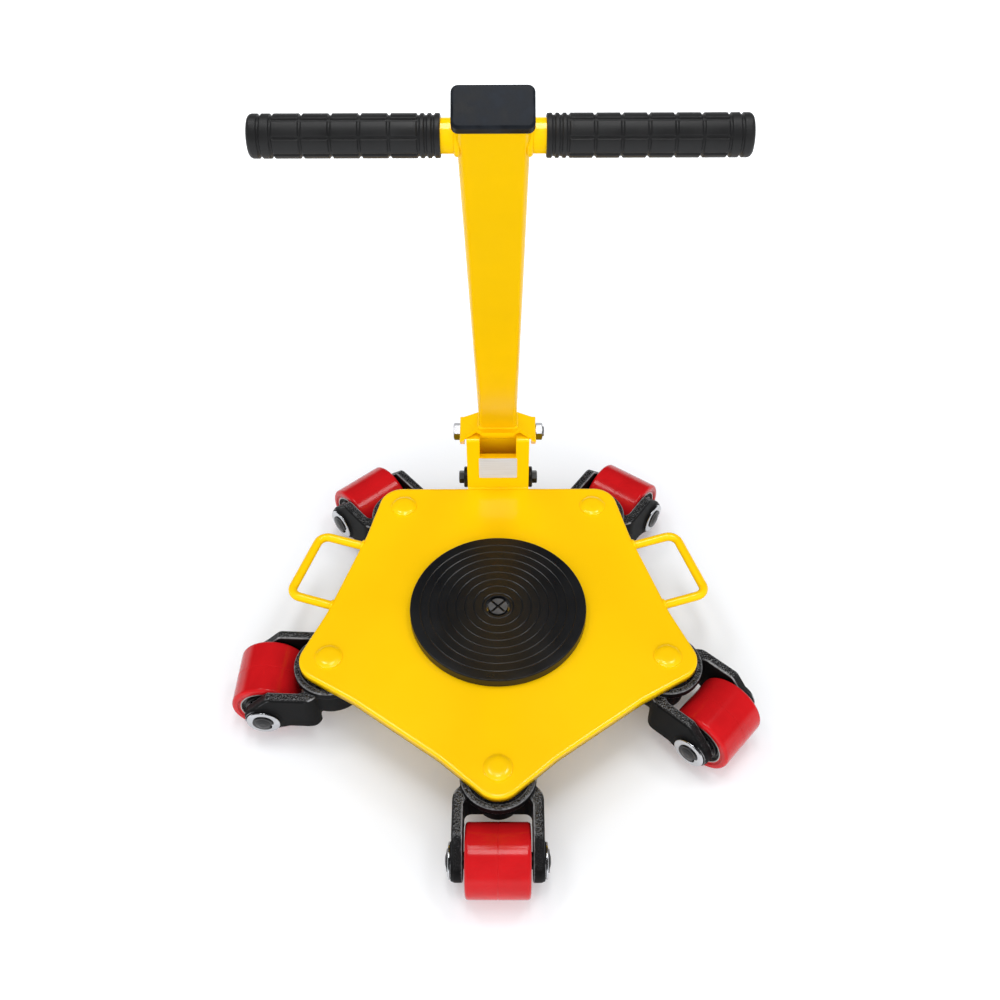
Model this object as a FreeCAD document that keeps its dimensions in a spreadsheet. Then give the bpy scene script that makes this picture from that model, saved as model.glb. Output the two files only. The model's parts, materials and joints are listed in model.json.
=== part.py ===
import FreeCAD, Part
import math
import os
import re
import Sketcher

# Steerable machine skate: a five-sided deck on five swivel casters, with a turning load pad,
# two carry handles and a tilting T-handle drawbar.
# Millimetres. The origin is on the floor under the load pad's axis, +Z is up and the drawbar's
# hitch is on the +Y side.

# Driving sizes, one cell each.
SIZES = {
    # Fits
    "fit_gap": 0.05,
    "running_gap": 0.06,
    "thrust_gap": 0.2,
    "stop_gap": 0.3,
    "cut_overrun": 6.0,
    # Wheels
    "wheel_radius": 44.0,
    "wheel_width": 77.0,
    "wheel_side_gap": 2.5,
    "tread_edge": 4.0,
    "hub_recess": 1.0,
    "bearing_width": 14.0,
    "bearing_inset": 1.0,
    "bearing_shoulder": 3.5,
    "race_width": 3.5,
    "shield_depth": 0.8,
    # Axles and what holds them
    "axle_radius": 10.0,
    "axle_end_edge": 1.6,
    "axle_end_length": 1.9,
    "axle_washer_radius": 21.5,
    "axle_washer_thickness": 3.0,
    "axle_washer_edge": 1.0,
    "clip_thickness": 1.6,
    "clip_depth": 0.9,
    "clip_width": 4.5,
    "spacer_wall": 4.0,
    # Caster forks
    "arm_thickness": 13.0,
    "arm_end_radius": 25.0,
    "arm_height": 61.0,
    "arm_drop": 6.0,
    "arm_knee_setback": 9.0,
    "arm_knee_round": 8.0,
    "arm_heel_gap": 8.0,
    "arm_heel_round": 6.0,
    "axle_pad_radius": 23.5,
    "axle_pad_height": 1.5,
    "boss_wall": 17.0,
    "boss_edge": 5.0,
    "boss_wheel_gap": 11.4,
    "boss_ground_gap": 30.0,
    "collar_wall": 8.0,
    "collar_gap": 2.0,
    "collar_height": 11.0,
    "collar_edge": 1.5,
    "fork_deck_gap": 3.0,
    "web_setback": 1.0,
    "web_height": 45.0,
    "web_corner_round": 9.0,
    "shoulder_reach": 9.0,
    "shoulder_radius": 19.0,
    "head_setback": 2.0,
    "head_height": 50.0,
    "head_edge": 9.0,
    "casting_edge": 2.5,
    # Kingpins
    "pin_circle_radius": 225.0,
    "pin_radius": 11.0,
    "pin_head_radius": 17.5,
    "pin_head_height": 4.5,
    "pin_thread_radius": 9.0,
    "pin_end_length": 3.0,
    "pin_end_edge": 1.0,
    "pin_washer_radius": 19.0,
    "pin_washer_thickness": 3.0,
    "pin_nut_flats": 27.0,
    "pin_nut_height": 11.0,
    "thrust_washer_radius": 36.0,
    "thrust_washer_thickness": 6.0,
    # Deck
    "deck_edge_margin": 34.5,
    "deck_corner_reach": 48.0,
    "deck_corner_radius": 31.0,
    "deck_rear_half": 160.0,
    "deck_side_bow": 4.5,
    "deck_side_flat": 68.0,
    "deck_side_round": 150.0,
    "deck_thickness": 12.0,
    "deck_edge_round": 2.0,
    "wheel_deck_gap": 12.0,
    # Load pad
    "pad_radius": 114.0,
    "pad_rise": 14.0,
    "pad_skirt": 4.0,
    "pad_edge": 2.0,
    "pad_hole_radius": 15.75,
    "pad_hole_edge": 1.0,
    "groove_first_radius": 20.0,
    "groove_rim": 13.5,
    "groove_width": 2.2,
    "groove_depth": 1.6,
    "turntable_thickness": 5.0,
    "slip_ring_radius": 60.0,
    "slip_ring_thickness": 1.0,
    "screw_radius": 8.0,
    "screw_head_radius": 12.8,
    "screw_head_height": 6.0,
    "screw_head_edge": 1.8,
    "screw_slot_length": 19.0,
    "screw_slot_width": 2.8,
    "screw_slot_depth": 2.5,
    "screw_end_length": 3.0,
    "screw_nut_flats": 24.0,
    "screw_nut_height": 11.0,
    "screw_washer_radius": 15.0,
    "screw_washer_thickness": 3.0,
    # Carry handles
    "handle_rod_radius": 6.0,
    "handle_span": 106.0,
    "handle_reach": 61.5,
    "handle_bend_radius": 14.0,
    # Hitch bracket
    "bracket_width": 86.0,
    "bracket_depth": 41.5,
    "cheek_thickness": 18.0,
    "front_wall": 8.0,
    "rear_wall": 8.0,
    "rear_wall_gap": 2.0,
    "sill_drop": 22.0,
    "pivot_height": 85.0,
    "cheek_rise": 12.0,
    "cheek_front_round": 4.0,
    "hitch_bolt_setback": 18.5,
    "hitch_bolt_height": 4.0,
    "hitch_bolt_radius": 5.0,
    "hitch_bolt_length": 14.0,
    "hitch_bolt_flats": 16.0,
    "hitch_bolt_head": 7.0,
    "hitch_washer_radius": 15.0,
    "hitch_washer_thickness": 5.5,
    "hitch_washer_edge": 1.5,
    "crossbar_radius": 9.5,
    # Drawbar yoke and its pivot
    "yoke_side_gap": 3.0,
    "yoke_thickness": 6.0,
    "yoke_flat_half": 25.0,
    "yoke_drop": 12.5,
    "yoke_bend_round": 3.0,
    "yoke_front_reach": 29.0,
    "yoke_rear_reach": 12.0,
    "yoke_tab_half": 21.0,
    "yoke_notch_half": 30.0,
    "yoke_notch_depth": 8.5,
    "ear_radius": 17.5,
    "pivot_bolt_radius": 7.0,
    "pivot_bolt_flats": 21.0,
    "pivot_bolt_head": 9.0,
    "pivot_nut_height": 9.5,
    "pivot_end_length": 2.0,
    "pivot_sleeve_wall": 3.0,
    "pivot_washer_wall": 4.0,
    # Drawbar post, T-handle, grips and cap
    "post_width": 50.0,
    "post_depth": 25.0,
    "post_wall": 2.5,
    "post_corner_radius": 5.0,
    "post_length": 844.0,
    "post_setback": 5.0,
    "bar_radius": 12.0,
    "bar_wall": 2.0,
    "bar_below_cap": 32.5,
    "grip_stand_off": 11.0,
    "grip_wall": 2.8,
    "grip_end_wall": 4.0,
    "grip_end_edge": 2.5,
    "left_grip_length": 131.0,
    "right_grip_length": 140.5,
    "grip_groove_width": 1.6,
    "grip_groove_depth": 1.2,
    "grip_ring_pitch": 4.0,
    "cap_width": 55.5,
    "cap_depth": 31.0,
    "cap_height": 8.0,
    "cap_corner_radius": 5.0,
    "cap_edge_round": 2.0,
    "cap_plug_depth": 12.0,
    "cap_plug_gap": 0.2,
}

# Angles in degrees and counts, which don't change with the part's size.
POST_LEAN_ANGLE = 31.4
SWIVEL_ANGLES = {"front": -90.2, "right": -41.8, "rear_right": 54.8, "rear_left": 130.7, "left": 177.5}
CORNER_ANGLES = {"front": -90.0, "right": -18.0, "rear_right": 54.0, "rear_left": 126.0, "left": 198.0}
HANDLE_ANGLES = {"right": 18.0, "left": 162.0}
HALF_CORNER_ANGLE = 36.0
PAD_GROOVE_COUNT = 8
LEFT_ROW_COUNT = 5
RIGHT_ROW_COUNT = 6
GRIP_ROW_COUNTS = {"left": LEFT_ROW_COUNT, "right": RIGHT_ROW_COUNT}
INNER_RING_COUNT = 3
OUTER_RING_COUNT = 2
# Radius and height of a kingpin head's shoulders, how far in an eased edge's middle lies, a tread's
# share of its wheel and a bearing's share of its hub.
PIN_HEAD_SHARES = ((1.0, 0.4), (0.87, 0.8), (0.6, 1.0))
EASE_SHARE = 0.29
TREAD_SHARE = 0.25
BEARING_SHARE = 0.712

# Places and sizes worked out from the driving sizes, written as formulas.
PLACES = {
    # Heights from the floor
    "deck_bottom": "2 * wheel_radius + wheel_deck_gap",
    "deck_top": "deck_bottom + deck_thickness",
    "deck_middle": "deck_bottom + deck_thickness / 2",
    "fork_top": "deck_bottom - fork_deck_gap",
    "recess_floor": "deck_bottom - thrust_washer_thickness - thrust_gap",
    "arm_top": "fork_top - arm_drop",
    "arm_bottom": "arm_top - arm_height",
    "head_bottom": "fork_top - head_height",
    "web_bottom": "arm_top - web_height",
    # Wheel, from its centre
    "tread_half": "wheel_width / 2",
    "hub_radius": "wheel_radius - wheel_radius * %s" % TREAD_SHARE,
    "bearing_radius": "hub_radius * %s" % BEARING_SHARE,
    "hub_half": "tread_half - hub_recess",
    "hub_seat": "hub_half - bearing_inset - bearing_width",
    "bearing_face": "hub_half - bearing_inset",
    "axle_bore": "axle_radius + running_gap",
    # Fork, from the kingpin axis
    "arm_inner": "tread_half + wheel_side_gap",
    "arm_outer": "arm_inner + arm_thickness",
    "axle_pad_face": "arm_outer + axle_pad_height",
    "axle_washer_face": "axle_pad_face + axle_washer_thickness",
    "clip_face": "axle_washer_face + clip_thickness",
    "axle_half": "clip_face + axle_end_length",
    "boss_radius": "pin_radius + boss_wall",
    "collar_bore": "thrust_washer_radius + collar_gap",
    "collar_radius": "collar_bore + collar_wall",
    "head_radius": "collar_radius - head_setback",
    "trail": "boss_radius + boss_wheel_gap + wheel_radius",
    "web_reach": "boss_radius - web_setback",
    "fork_far": "trail + arm_end_radius + cut_overrun",
    "arm_heel": "trail - arm_end_radius - arm_heel_gap",
    # Kingpin
    "pin_shoulder": "boss_ground_gap - thrust_gap",
    "pin_washer_base": "pin_shoulder - pin_washer_thickness",
    "pin_nut_base": "pin_washer_base - pin_nut_height",
    "pin_bottom": "pin_nut_base - pin_end_length",
    # Deck
    "deck_apothem": "pin_circle_radius * cos(%s deg) + deck_edge_margin" % HALF_CORNER_ANGLE,
    "deck_circumradius": "pin_circle_radius + deck_corner_reach",
    "deck_side": "deck_apothem - deck_side_bow",
    # Load pad
    "groove_pitch": "(pad_radius - groove_rim - groove_first_radius) / %d" % (PAD_GROOVE_COUNT - 1),
    "slip_ring_top": "deck_top + slip_ring_thickness",
    "turntable_top": "slip_ring_top + turntable_thickness",
    "turntable_radius": "pad_radius - pad_skirt",
    "pad_top": "deck_top + pad_rise",
    "screw_seat": "turntable_top + thrust_gap",
    "screw_head_top": "screw_seat + screw_head_height",
    "screw_washer_base": "deck_bottom - screw_washer_thickness",
    "screw_nut_base": "screw_washer_base - screw_nut_height",
    "screw_bottom": "screw_nut_base - screw_end_length",
    # Hitch bracket
    "bracket_half": "bracket_width / 2",
    "bracket_inner": "bracket_half - cheek_thickness",
    "bracket_front": "deck_apothem",
    "bracket_rear": "bracket_front + bracket_depth",
    "pivot_y": "bracket_rear - cheek_rise",
    "pivot_z": "deck_top + pivot_height",
    "cheek_top": "pivot_z + cheek_rise",
    "sill_z": "pivot_z - sill_drop",
    "pivot_sleeve_radius": "pivot_bolt_radius + running_gap + pivot_sleeve_wall",
    "rear_wall_top": "pivot_z - pivot_sleeve_radius - rear_wall_gap",
    "hitch_bolt_y": "bracket_front + hitch_bolt_setback",
    "hitch_bolt_z": "deck_top + hitch_bolt_height",
    "hitch_washer_face": "bracket_half + hitch_washer_thickness",
    "hitch_head_face": "hitch_washer_face + hitch_bolt_head",
    "hitch_bolt_tip": "bracket_inner - hitch_bolt_length",
    # Yoke
    "yoke_inner": "bracket_half + yoke_side_gap",
    "yoke_outer": "yoke_inner + yoke_thickness",
    "yoke_slope": "yoke_drop / (yoke_outer - yoke_flat_half)",
    "yoke_inner_z": "cheek_top + stop_gap - yoke_side_gap * yoke_slope",
    "yoke_under": "yoke_inner_z + (yoke_inner - yoke_flat_half) * yoke_slope",
    "yoke_top": "yoke_under + yoke_thickness",
    "yoke_shoulder": "yoke_top - yoke_drop",
    "ear_top": "yoke_shoulder - yoke_thickness / 2",
    "ear_root": "yoke_shoulder - yoke_thickness",
    "yoke_front": "pivot_y - yoke_front_reach",
    "yoke_depth": "yoke_front_reach + yoke_rear_reach",
    # Drawbar post, along its own axis from the middle of its foot
    "lean_sin": "sin(%s deg)" % POST_LEAN_ANGLE,
    "lean_cos": "cos(%s deg)" % POST_LEAN_ANGLE,
    "foot_y": "pivot_y - post_setback",
    "head_y": "foot_y - post_length * lean_sin",
    "head_z": "yoke_top + post_length * lean_cos",
    "bar_along": "post_length - bar_below_cap",
    "bar_y": "foot_y - bar_along * lean_sin",
    "bar_z": "yoke_top + bar_along * lean_cos",
    "grip_start": "post_width / 2 + grip_stand_off",
    "grip_bore": "bar_radius + fit_gap",
    "grip_radius": "grip_bore + grip_wall",
}

doc = FreeCAD.newDocument("machine_skate")
sheet = doc.addObject("Spreadsheet::Sheet", "Sizes")
for row, (alias, number) in enumerate(SIZES.items(), start=1):
    sheet.set("A%d" % row, alias.replace("_", " "))
    sheet.set("B%d" % row, str(number))
    sheet.setAlias("B%d" % row, alias)
doc.recompute()

NODES = {}


def spell(formula):
    """Write a formula of named sizes and places as an expression on the sheet."""
    def word(match):
        name = match.group(0)
        if name in PLACES:
            return "(" + spell(PLACES[name]) + ")"
        return "Sizes." + name if name in SIZES else name
    return re.sub(r"[a-z_]+", word, str(formula))


def value(formula):
    """The number that a formula has now."""
    return float(sheet.evalExpression(spell(formula)))


def keep(name, thing):
    """Make a document object a sub-part of its own, written under this name."""
    thing.Label = name
    NODES[name] = thing
    return thing


# Sketches

def new_body(name):
    return doc.addObject("PartDesign::Body", name)


def plane_of(body, role):
    return next(part for part in body.Origin.OriginFeatures if part.Role == role)


def new_sketch(body, name, role, offset="0"):
    """A sketch on one of the body's own planes, moved along that plane's normal."""
    sketch = body.newObject("Sketcher::SketchObject", name)
    sketch.AttachmentSupport = [(plane_of(body, role), "")]
    sketch.MapMode = "FlatFace"
    sketch.setExpression("AttachmentOffset.Base.z", spell(offset))
    return sketch


def measure(sketch, kind, parts, formula):
    """Add a dimension and bind it to its formula."""
    index = sketch.addConstraint(Sketcher.Constraint(kind, *parts, value(formula)))
    sketch.setExpression("Constraints[%d]" % index, spell(formula))


def pin_point(sketch, geometry, end, x_formula, y_formula):
    """Hold one end of a line, or a circle's centre, at a place from the sketch's origin."""
    measure(sketch, "DistanceX", (-1, 1, geometry, end), x_formula)
    measure(sketch, "DistanceY", (-1, 1, geometry, end), y_formula)


def add_circle(sketch, x_formula, y_formula, radius):
    centre = FreeCAD.Vector(value(x_formula), value(y_formula), 0)
    circle = Part.Circle(centre, FreeCAD.Vector(0, 0, 1), value(radius))
    geometry = sketch.addGeometry(circle)
    measure(sketch, "Radius", (geometry,), radius)
    pin_point(sketch, geometry, 3, x_formula, y_formula)


def side_direction(start, end):
    """Direction of the straight side between two corners; a corner with a centre is tangent to it.
    The outline runs anticlockwise round such a centre."""
    def shape(corner):
        point = FreeCAD.Vector(value(corner[0]), value(corner[1]), 0)
        return point, value(corner[2]) if len(corner) > 3 else 0
    (first, first_radius), (last, last_radius) = shape(start), shape(end)
    span = last - first
    heading = math.atan2(span.y, span.x) - math.asin((last_radius - first_radius) / span.Length)
    return FreeCAD.Vector(math.cos(heading), math.sin(heading), 0)


def right_of(direction):
    return FreeCAD.Vector(direction.y, -direction.x, 0)


def corner_arc(corner, before, after):
    """Where a rounded corner leaves the side before it and joins the side after it, and its centre."""
    point = FreeCAD.Vector(value(corner[0]), value(corner[1]), 0)
    radius = value(corner[2])
    if len(corner) > 3:
        return point + right_of(before) * radius, point + right_of(after) * radius, point, True
    turn = math.atan2(before.x * after.y - before.y * after.x, before.dot(after))
    setback = radius * math.tan(abs(turn) / 2)
    leave = point - before * setback
    side = right_of(before) * (-radius if turn > 0 else radius)
    return leave, point + after * setback, leave + side, turn > 0


def add_outline(sketch, corners, closed=True):
    """Straight sides through the corners, each (x, y), (x, y, round) or (x, y, radius, "centre")."""
    count = len(corners)
    sides = count if closed else count - 1
    headings = [side_direction(corners[i], corners[(i + 1) % count]) for i in range(sides)]
    bends = {}
    for i, corner in enumerate(corners):
        if len(corner) > 2:
            bends[i] = corner_arc(corner, headings[i - 1], headings[i])
    lines = []
    for i in range(sides):
        following = (i + 1) % count
        ends = []
        for index, joined in ((i, 1), (following, 0)):
            corner = corners[index]
            plain = FreeCAD.Vector(value(corner[0]), value(corner[1]), 0)
            ends.append(bends[index][joined] if index in bends else plain)
        lines.append(sketch.addGeometry(Part.LineSegment(*ends)))
    for i, corner in enumerate(corners):
        before = lines[i - 1] if closed or i > 0 else None
        after = lines[i] if i < sides else None
        if i not in bends:
            if before is not None and after is not None:
                sketch.addConstraint(Sketcher.Constraint("Coincident", before, 2, after, 1))
            held = (after, 1) if after is not None else (before, 2)
            pin_point(sketch, held[0], held[1], corner[0], corner[1])
            continue
        leave, join, centre, anticlockwise = bends[i]
        first, last = (leave, join) if anticlockwise else (join, leave)
        angles = [math.atan2(p.y - centre.y, p.x - centre.x) for p in (first, last)]
        circle = Part.Circle(centre, FreeCAD.Vector(0, 0, 1), value(corner[2]))
        arc = sketch.addGeometry(Part.ArcOfCircle(circle, *angles))
        leave_end, join_end = (1, 2) if anticlockwise else (2, 1)
        sketch.addConstraint(Sketcher.Constraint("Tangent", before, 2, arc, leave_end))
        sketch.addConstraint(Sketcher.Constraint("Tangent", arc, join_end, after, 1))
        measure(sketch, "Radius", (arc,), corner[2])
        if len(corner) > 3:
            pin_point(sketch, arc, 3, corner[0], corner[1])
            continue
        mark = sketch.addGeometry(Part.Point(FreeCAD.Vector(value(corner[0]), value(corner[1]), 0)), True)
        pin_point(sketch, mark, 1, corner[0], corner[1])
        for line in (before, after):
            sketch.addConstraint(Sketcher.Constraint("PointOnObject", mark, 1, line))
    return lines


def rectangle(left, low, right, high, rounding=None):
    """The four corners of a rectangle, anticlockwise, all rounded alike if asked."""
    corners = [(left, low), (right, low), (right, high), (left, high)]
    return [corner + (rounding,) for corner in corners] if rounding else corners


def eased_high(radius, level, size):
    """Corners of a turned outline where an outer side bends in two steps into the face above it."""
    bend = "(%s) * %s" % (size, EASE_SHARE)
    return [(radius, "%s - %s" % (level, size)), ("%s - %s" % (radius, bend), "%s - %s" % (level, bend)),
            ("%s - %s" % (radius, size), level)]


def eased_low(radius, level, size):
    """The same for the face below an outer side."""
    bend = "(%s) * %s" % (size, EASE_SHARE)
    return [("%s - %s" % (radius, size), level), ("%s - %s" % (radius, bend), "%s + %s" % (level, bend)),
            (radius, "%s + %s" % (level, size))]


def hexagon(flats):
    """The six corners of a hexagon with this width across its flats."""
    radius = "%s / 2 / cos(30 deg)" % flats
    return [("%s * cos(%d deg)" % (radius, turn), "%s * sin(%d deg)" % (radius, turn))
            for turn in range(0, 360, 60)]


# Features of a body

def add_pad(body, name, sketch, length, both_ways=False, backwards=False):
    pad = body.newObject("PartDesign::Pad", name)
    pad.Profile = sketch
    pad.setExpression("Length", spell(length))
    pad.SideType = "Symmetric" if both_ways else "One side"
    pad.Reversed = backwards
    doc.recompute()
    return pad


def add_pocket(body, name, sketch, depth, both_ways=False, upwards=False):
    """Cut a sketch into the body, and make sure that it cuts something."""
    volume = body.Shape.Volume
    pocket = body.newObject("PartDesign::Pocket", name)
    pocket.Profile = sketch
    pocket.setExpression("Length", spell(depth))
    pocket.SideType = "Symmetric" if both_ways else "One side"
    pocket.Reversed = upwards
    doc.recompute()
    if body.Shape.Volume >= volume:
        raise RuntimeError(name + " cuts nothing")
    return pocket


def add_revolution(body, name, sketch, cut=False):
    """Turn a sketch of radii and heights about the upright axis."""
    volume = body.Shape.Volume if cut else 0
    turned = body.newObject("PartDesign::Groove" if cut else "PartDesign::Revolution", name)
    turned.Profile = sketch
    turned.ReferenceAxis = (sketch, ["V_Axis"])
    doc.recompute()
    if cut and body.Shape.Volume >= volume:
        raise RuntimeError(name + " cuts nothing")
    return turned


def add_edging(body, name, size, chosen, kind="Fillet"):
    """Round, or with kind Chamfer bevel, the edges of the body that the test chooses."""
    base = body.Tip
    edges = ["Edge%d" % i for i, edge in enumerate(base.Shape.Edges, start=1) if chosen(edge)]
    edging = body.newObject("PartDesign::" + kind, name)
    edging.Base = (base, edges)
    edging.setExpression("Radius" if kind == "Fillet" else "Size", spell(size))
    doc.recompute()
    return edging


def near(number, formula):
    return abs(number - value(formula)) < value("fit_gap")


def level_edge(formula):
    """A test for edges that lie in a level plane."""
    return lambda edge: near(edge.BoundBox.ZMin, formula) and near(edge.BoundBox.ZMax, formula)


def turned_body(name, corners):
    """A body turned from an outline of radii and heights."""
    body = new_body(name)
    sketch = new_sketch(body, name + "_outline", "XZ_Plane")
    add_outline(sketch, corners)
    add_revolution(body, name + "_turning", sketch)
    return body


def ring_body(name, inner, outer, low, high, easing=None):
    """A plain ring, with its outer edges eased if asked."""
    outside = [(outer, low), (outer, high)]
    if easing:
        outside = eased_low(outer, low, easing) + eased_high(outer, high, easing)
    return turned_body(name, [(inner, low)] + outside + [(inner, high)])


def hex_body(name, flats, low, height, bore=None):
    """A hexagon head or nut that stands on a level, bored through if asked."""
    body = new_body(name)
    sketch = new_sketch(body, name + "_hexagon", "XY_Plane", low)
    add_outline(sketch, hexagon(flats))
    if bore:
        add_circle(sketch, "0", "0", bore)
    add_pad(body, name + "_pad", sketch, height)
    return body


# Copies and placing

def place(thing, x="0", y="0", z="0", axis=(0, 0, 1), angle="0"):
    """Set a placement whose every number is a formula; angle is in degrees."""
    thing.Placement = FreeCAD.Placement(FreeCAD.Vector(), FreeCAD.Rotation(FreeCAD.Vector(*axis), 1))
    for letter, formula in zip("xyz", (x, y, z)):
        thing.setExpression("Placement.Base." + letter, spell(formula))
    thing.setExpression("Placement.Rotation.Angle", "%s deg" % angle)
    return thing


def group(name, things):
    joined = doc.addObject("Part::Compound", name)
    joined.Links = things
    return joined


def at_corner(name, thing, corner, turn=0.0):
    """A copy of a thing, moved from the origin to one kingpin and turned about it."""
    angle = CORNER_ANGLES[corner]
    return place(group(name, [thing]), "pin_circle_radius * cos(%s deg)" % angle,
                 "pin_circle_radius * sin(%s deg)" % angle, angle=turn)


def at_every_corner(name, thing):
    """One sub-part with a copy of a thing at each kingpin."""
    copies = [at_corner("%s_%s" % (corner, name), thing, corner) for corner in CORNER_ANGLES]
    return keep(name, group(name, copies))


def end_pair(name, thing):
    """A thing built along Z and its copy turned end for end."""
    return group(name, [thing, place(group(name + "_turned", [thing]), axis=(1, 0, 0), angle="180")])


def along_x(thing, y, z):
    """Lay a thing that is built along Z on a line along +X at this place."""
    return place(thing, "0", y, z, axis=(0, 1, 0), angle="90")


# Deck and carry handles

def side_bends(angle):
    """The two bends where the flat middle of a side, which faces this way, turns out to the corners."""
    out = ("deck_side * cos(%s deg)" % angle, "deck_side * sin(%s deg)" % angle)
    along = ("deck_side_flat * sin(%s deg)" % angle, "deck_side_flat * cos(%s deg)" % angle)
    return [(out[0] + " + " + along[0], out[1] + " - " + along[1], "deck_side_round"),
            (out[0] + " - " + along[0], out[1] + " + " + along[1], "deck_side_round")]


def make_deck():
    """Five-sided plate: a straight rear edge and four sides that draw in a little between the corners."""
    body = keep("deck_plate", new_body("deck_plate"))
    corners = []
    for name, angle in CORNER_ANGLES.items():
        if name.startswith("rear"):
            across = {"rear_right": "deck_rear_half", "rear_left": "-deck_rear_half"}[name]
            corners.append((across, "deck_apothem", "deck_corner_radius"))
        else:
            corners.append(("deck_circumradius * cos(%s deg)" % angle,
                            "deck_circumradius * sin(%s deg)" % angle, "deck_corner_radius"))
        if name != "rear_right":
            corners += side_bends(angle + HALF_CORNER_ANGLE)
    outline = new_sketch(body, "deck_outline", "XY_Plane", "deck_bottom")
    add_outline(outline, corners)
    add_pad(body, "deck_pad", outline, "deck_thickness")
    add_edging(body, "deck_edge", "deck_edge_round", level_edge("deck_top"))
    holes = new_sketch(body, "deck_holes", "XY_Plane", "deck_top")
    add_circle(holes, "0", "0", "screw_radius + fit_gap")
    for angle in CORNER_ANGLES.values():
        add_circle(holes, "pin_circle_radius * cos(%s deg)" % angle,
                   "pin_circle_radius * sin(%s deg)" % angle, "pin_radius + fit_gap")
    add_pocket(body, "deck_drilling", holes, "deck_thickness")


def make_carry_handle(side):
    """A bent rod whose two ends stand on the deck's edge."""
    name = side + "_carry_handle"
    body = keep(name, new_body(name))
    path = new_sketch(body, name + "_path", "XY_Plane")
    outer = "deck_side + handle_reach"
    corners = [("deck_side", "-handle_span / 2"), (outer, "-handle_span / 2", "handle_bend_radius"),
               (outer, "handle_span / 2", "handle_bend_radius"), ("deck_side", "handle_span / 2")]
    add_outline(path, corners, closed=False)
    section = new_sketch(body, name + "_section", "YZ_Plane", "deck_side")
    add_circle(section, "-handle_span / 2", "0", "handle_rod_radius")
    doc.recompute()
    pipe = body.newObject("PartDesign::AdditivePipe", name + "_pipe")
    pipe.Profile = section
    pipe.Spine = (path, ["Edge%d" % i for i in range(1, len(path.Shape.Edges) + 1)])
    place(body, z="deck_middle", angle=HANDLE_ANGLES[side])
    doc.recompute()


# Kingpins and swivel thrust washers

def make_kingpins():
    dome = [("pin_head_radius * %s" % across, "deck_top + pin_head_height * %s" % up)
            for across, up in PIN_HEAD_SHARES]
    pin = turned_body("kingpin", [("0", "pin_bottom")]
                      + eased_low("pin_thread_radius", "pin_bottom", "pin_end_edge")
                      + [("pin_thread_radius", "pin_shoulder"), ("pin_radius", "pin_shoulder"),
                         ("pin_radius", "deck_top"), ("pin_head_radius", "deck_top")]
                      + dome + [("0", "deck_top + pin_head_height")])
    at_every_corner("kingpins", pin)
    washer = ring_body("kingpin_washer", "pin_thread_radius + fit_gap", "pin_washer_radius",
                       "pin_washer_base", "pin_shoulder")
    at_every_corner("kingpin_washers", washer)
    nut = hex_body("kingpin_nut", "pin_nut_flats", "pin_nut_base", "pin_nut_height",
                   "pin_thread_radius + fit_gap")
    at_every_corner("kingpin_nuts", nut)
    thrust = ring_body("thrust_washer", "pin_radius + fit_gap", "thrust_washer_radius",
                       "deck_bottom - thrust_washer_thickness", "deck_bottom")
    at_every_corner("thrust_washers", thrust)


# Swivel caster, built with its kingpin on the Z axis and its wheel towards +X

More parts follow.
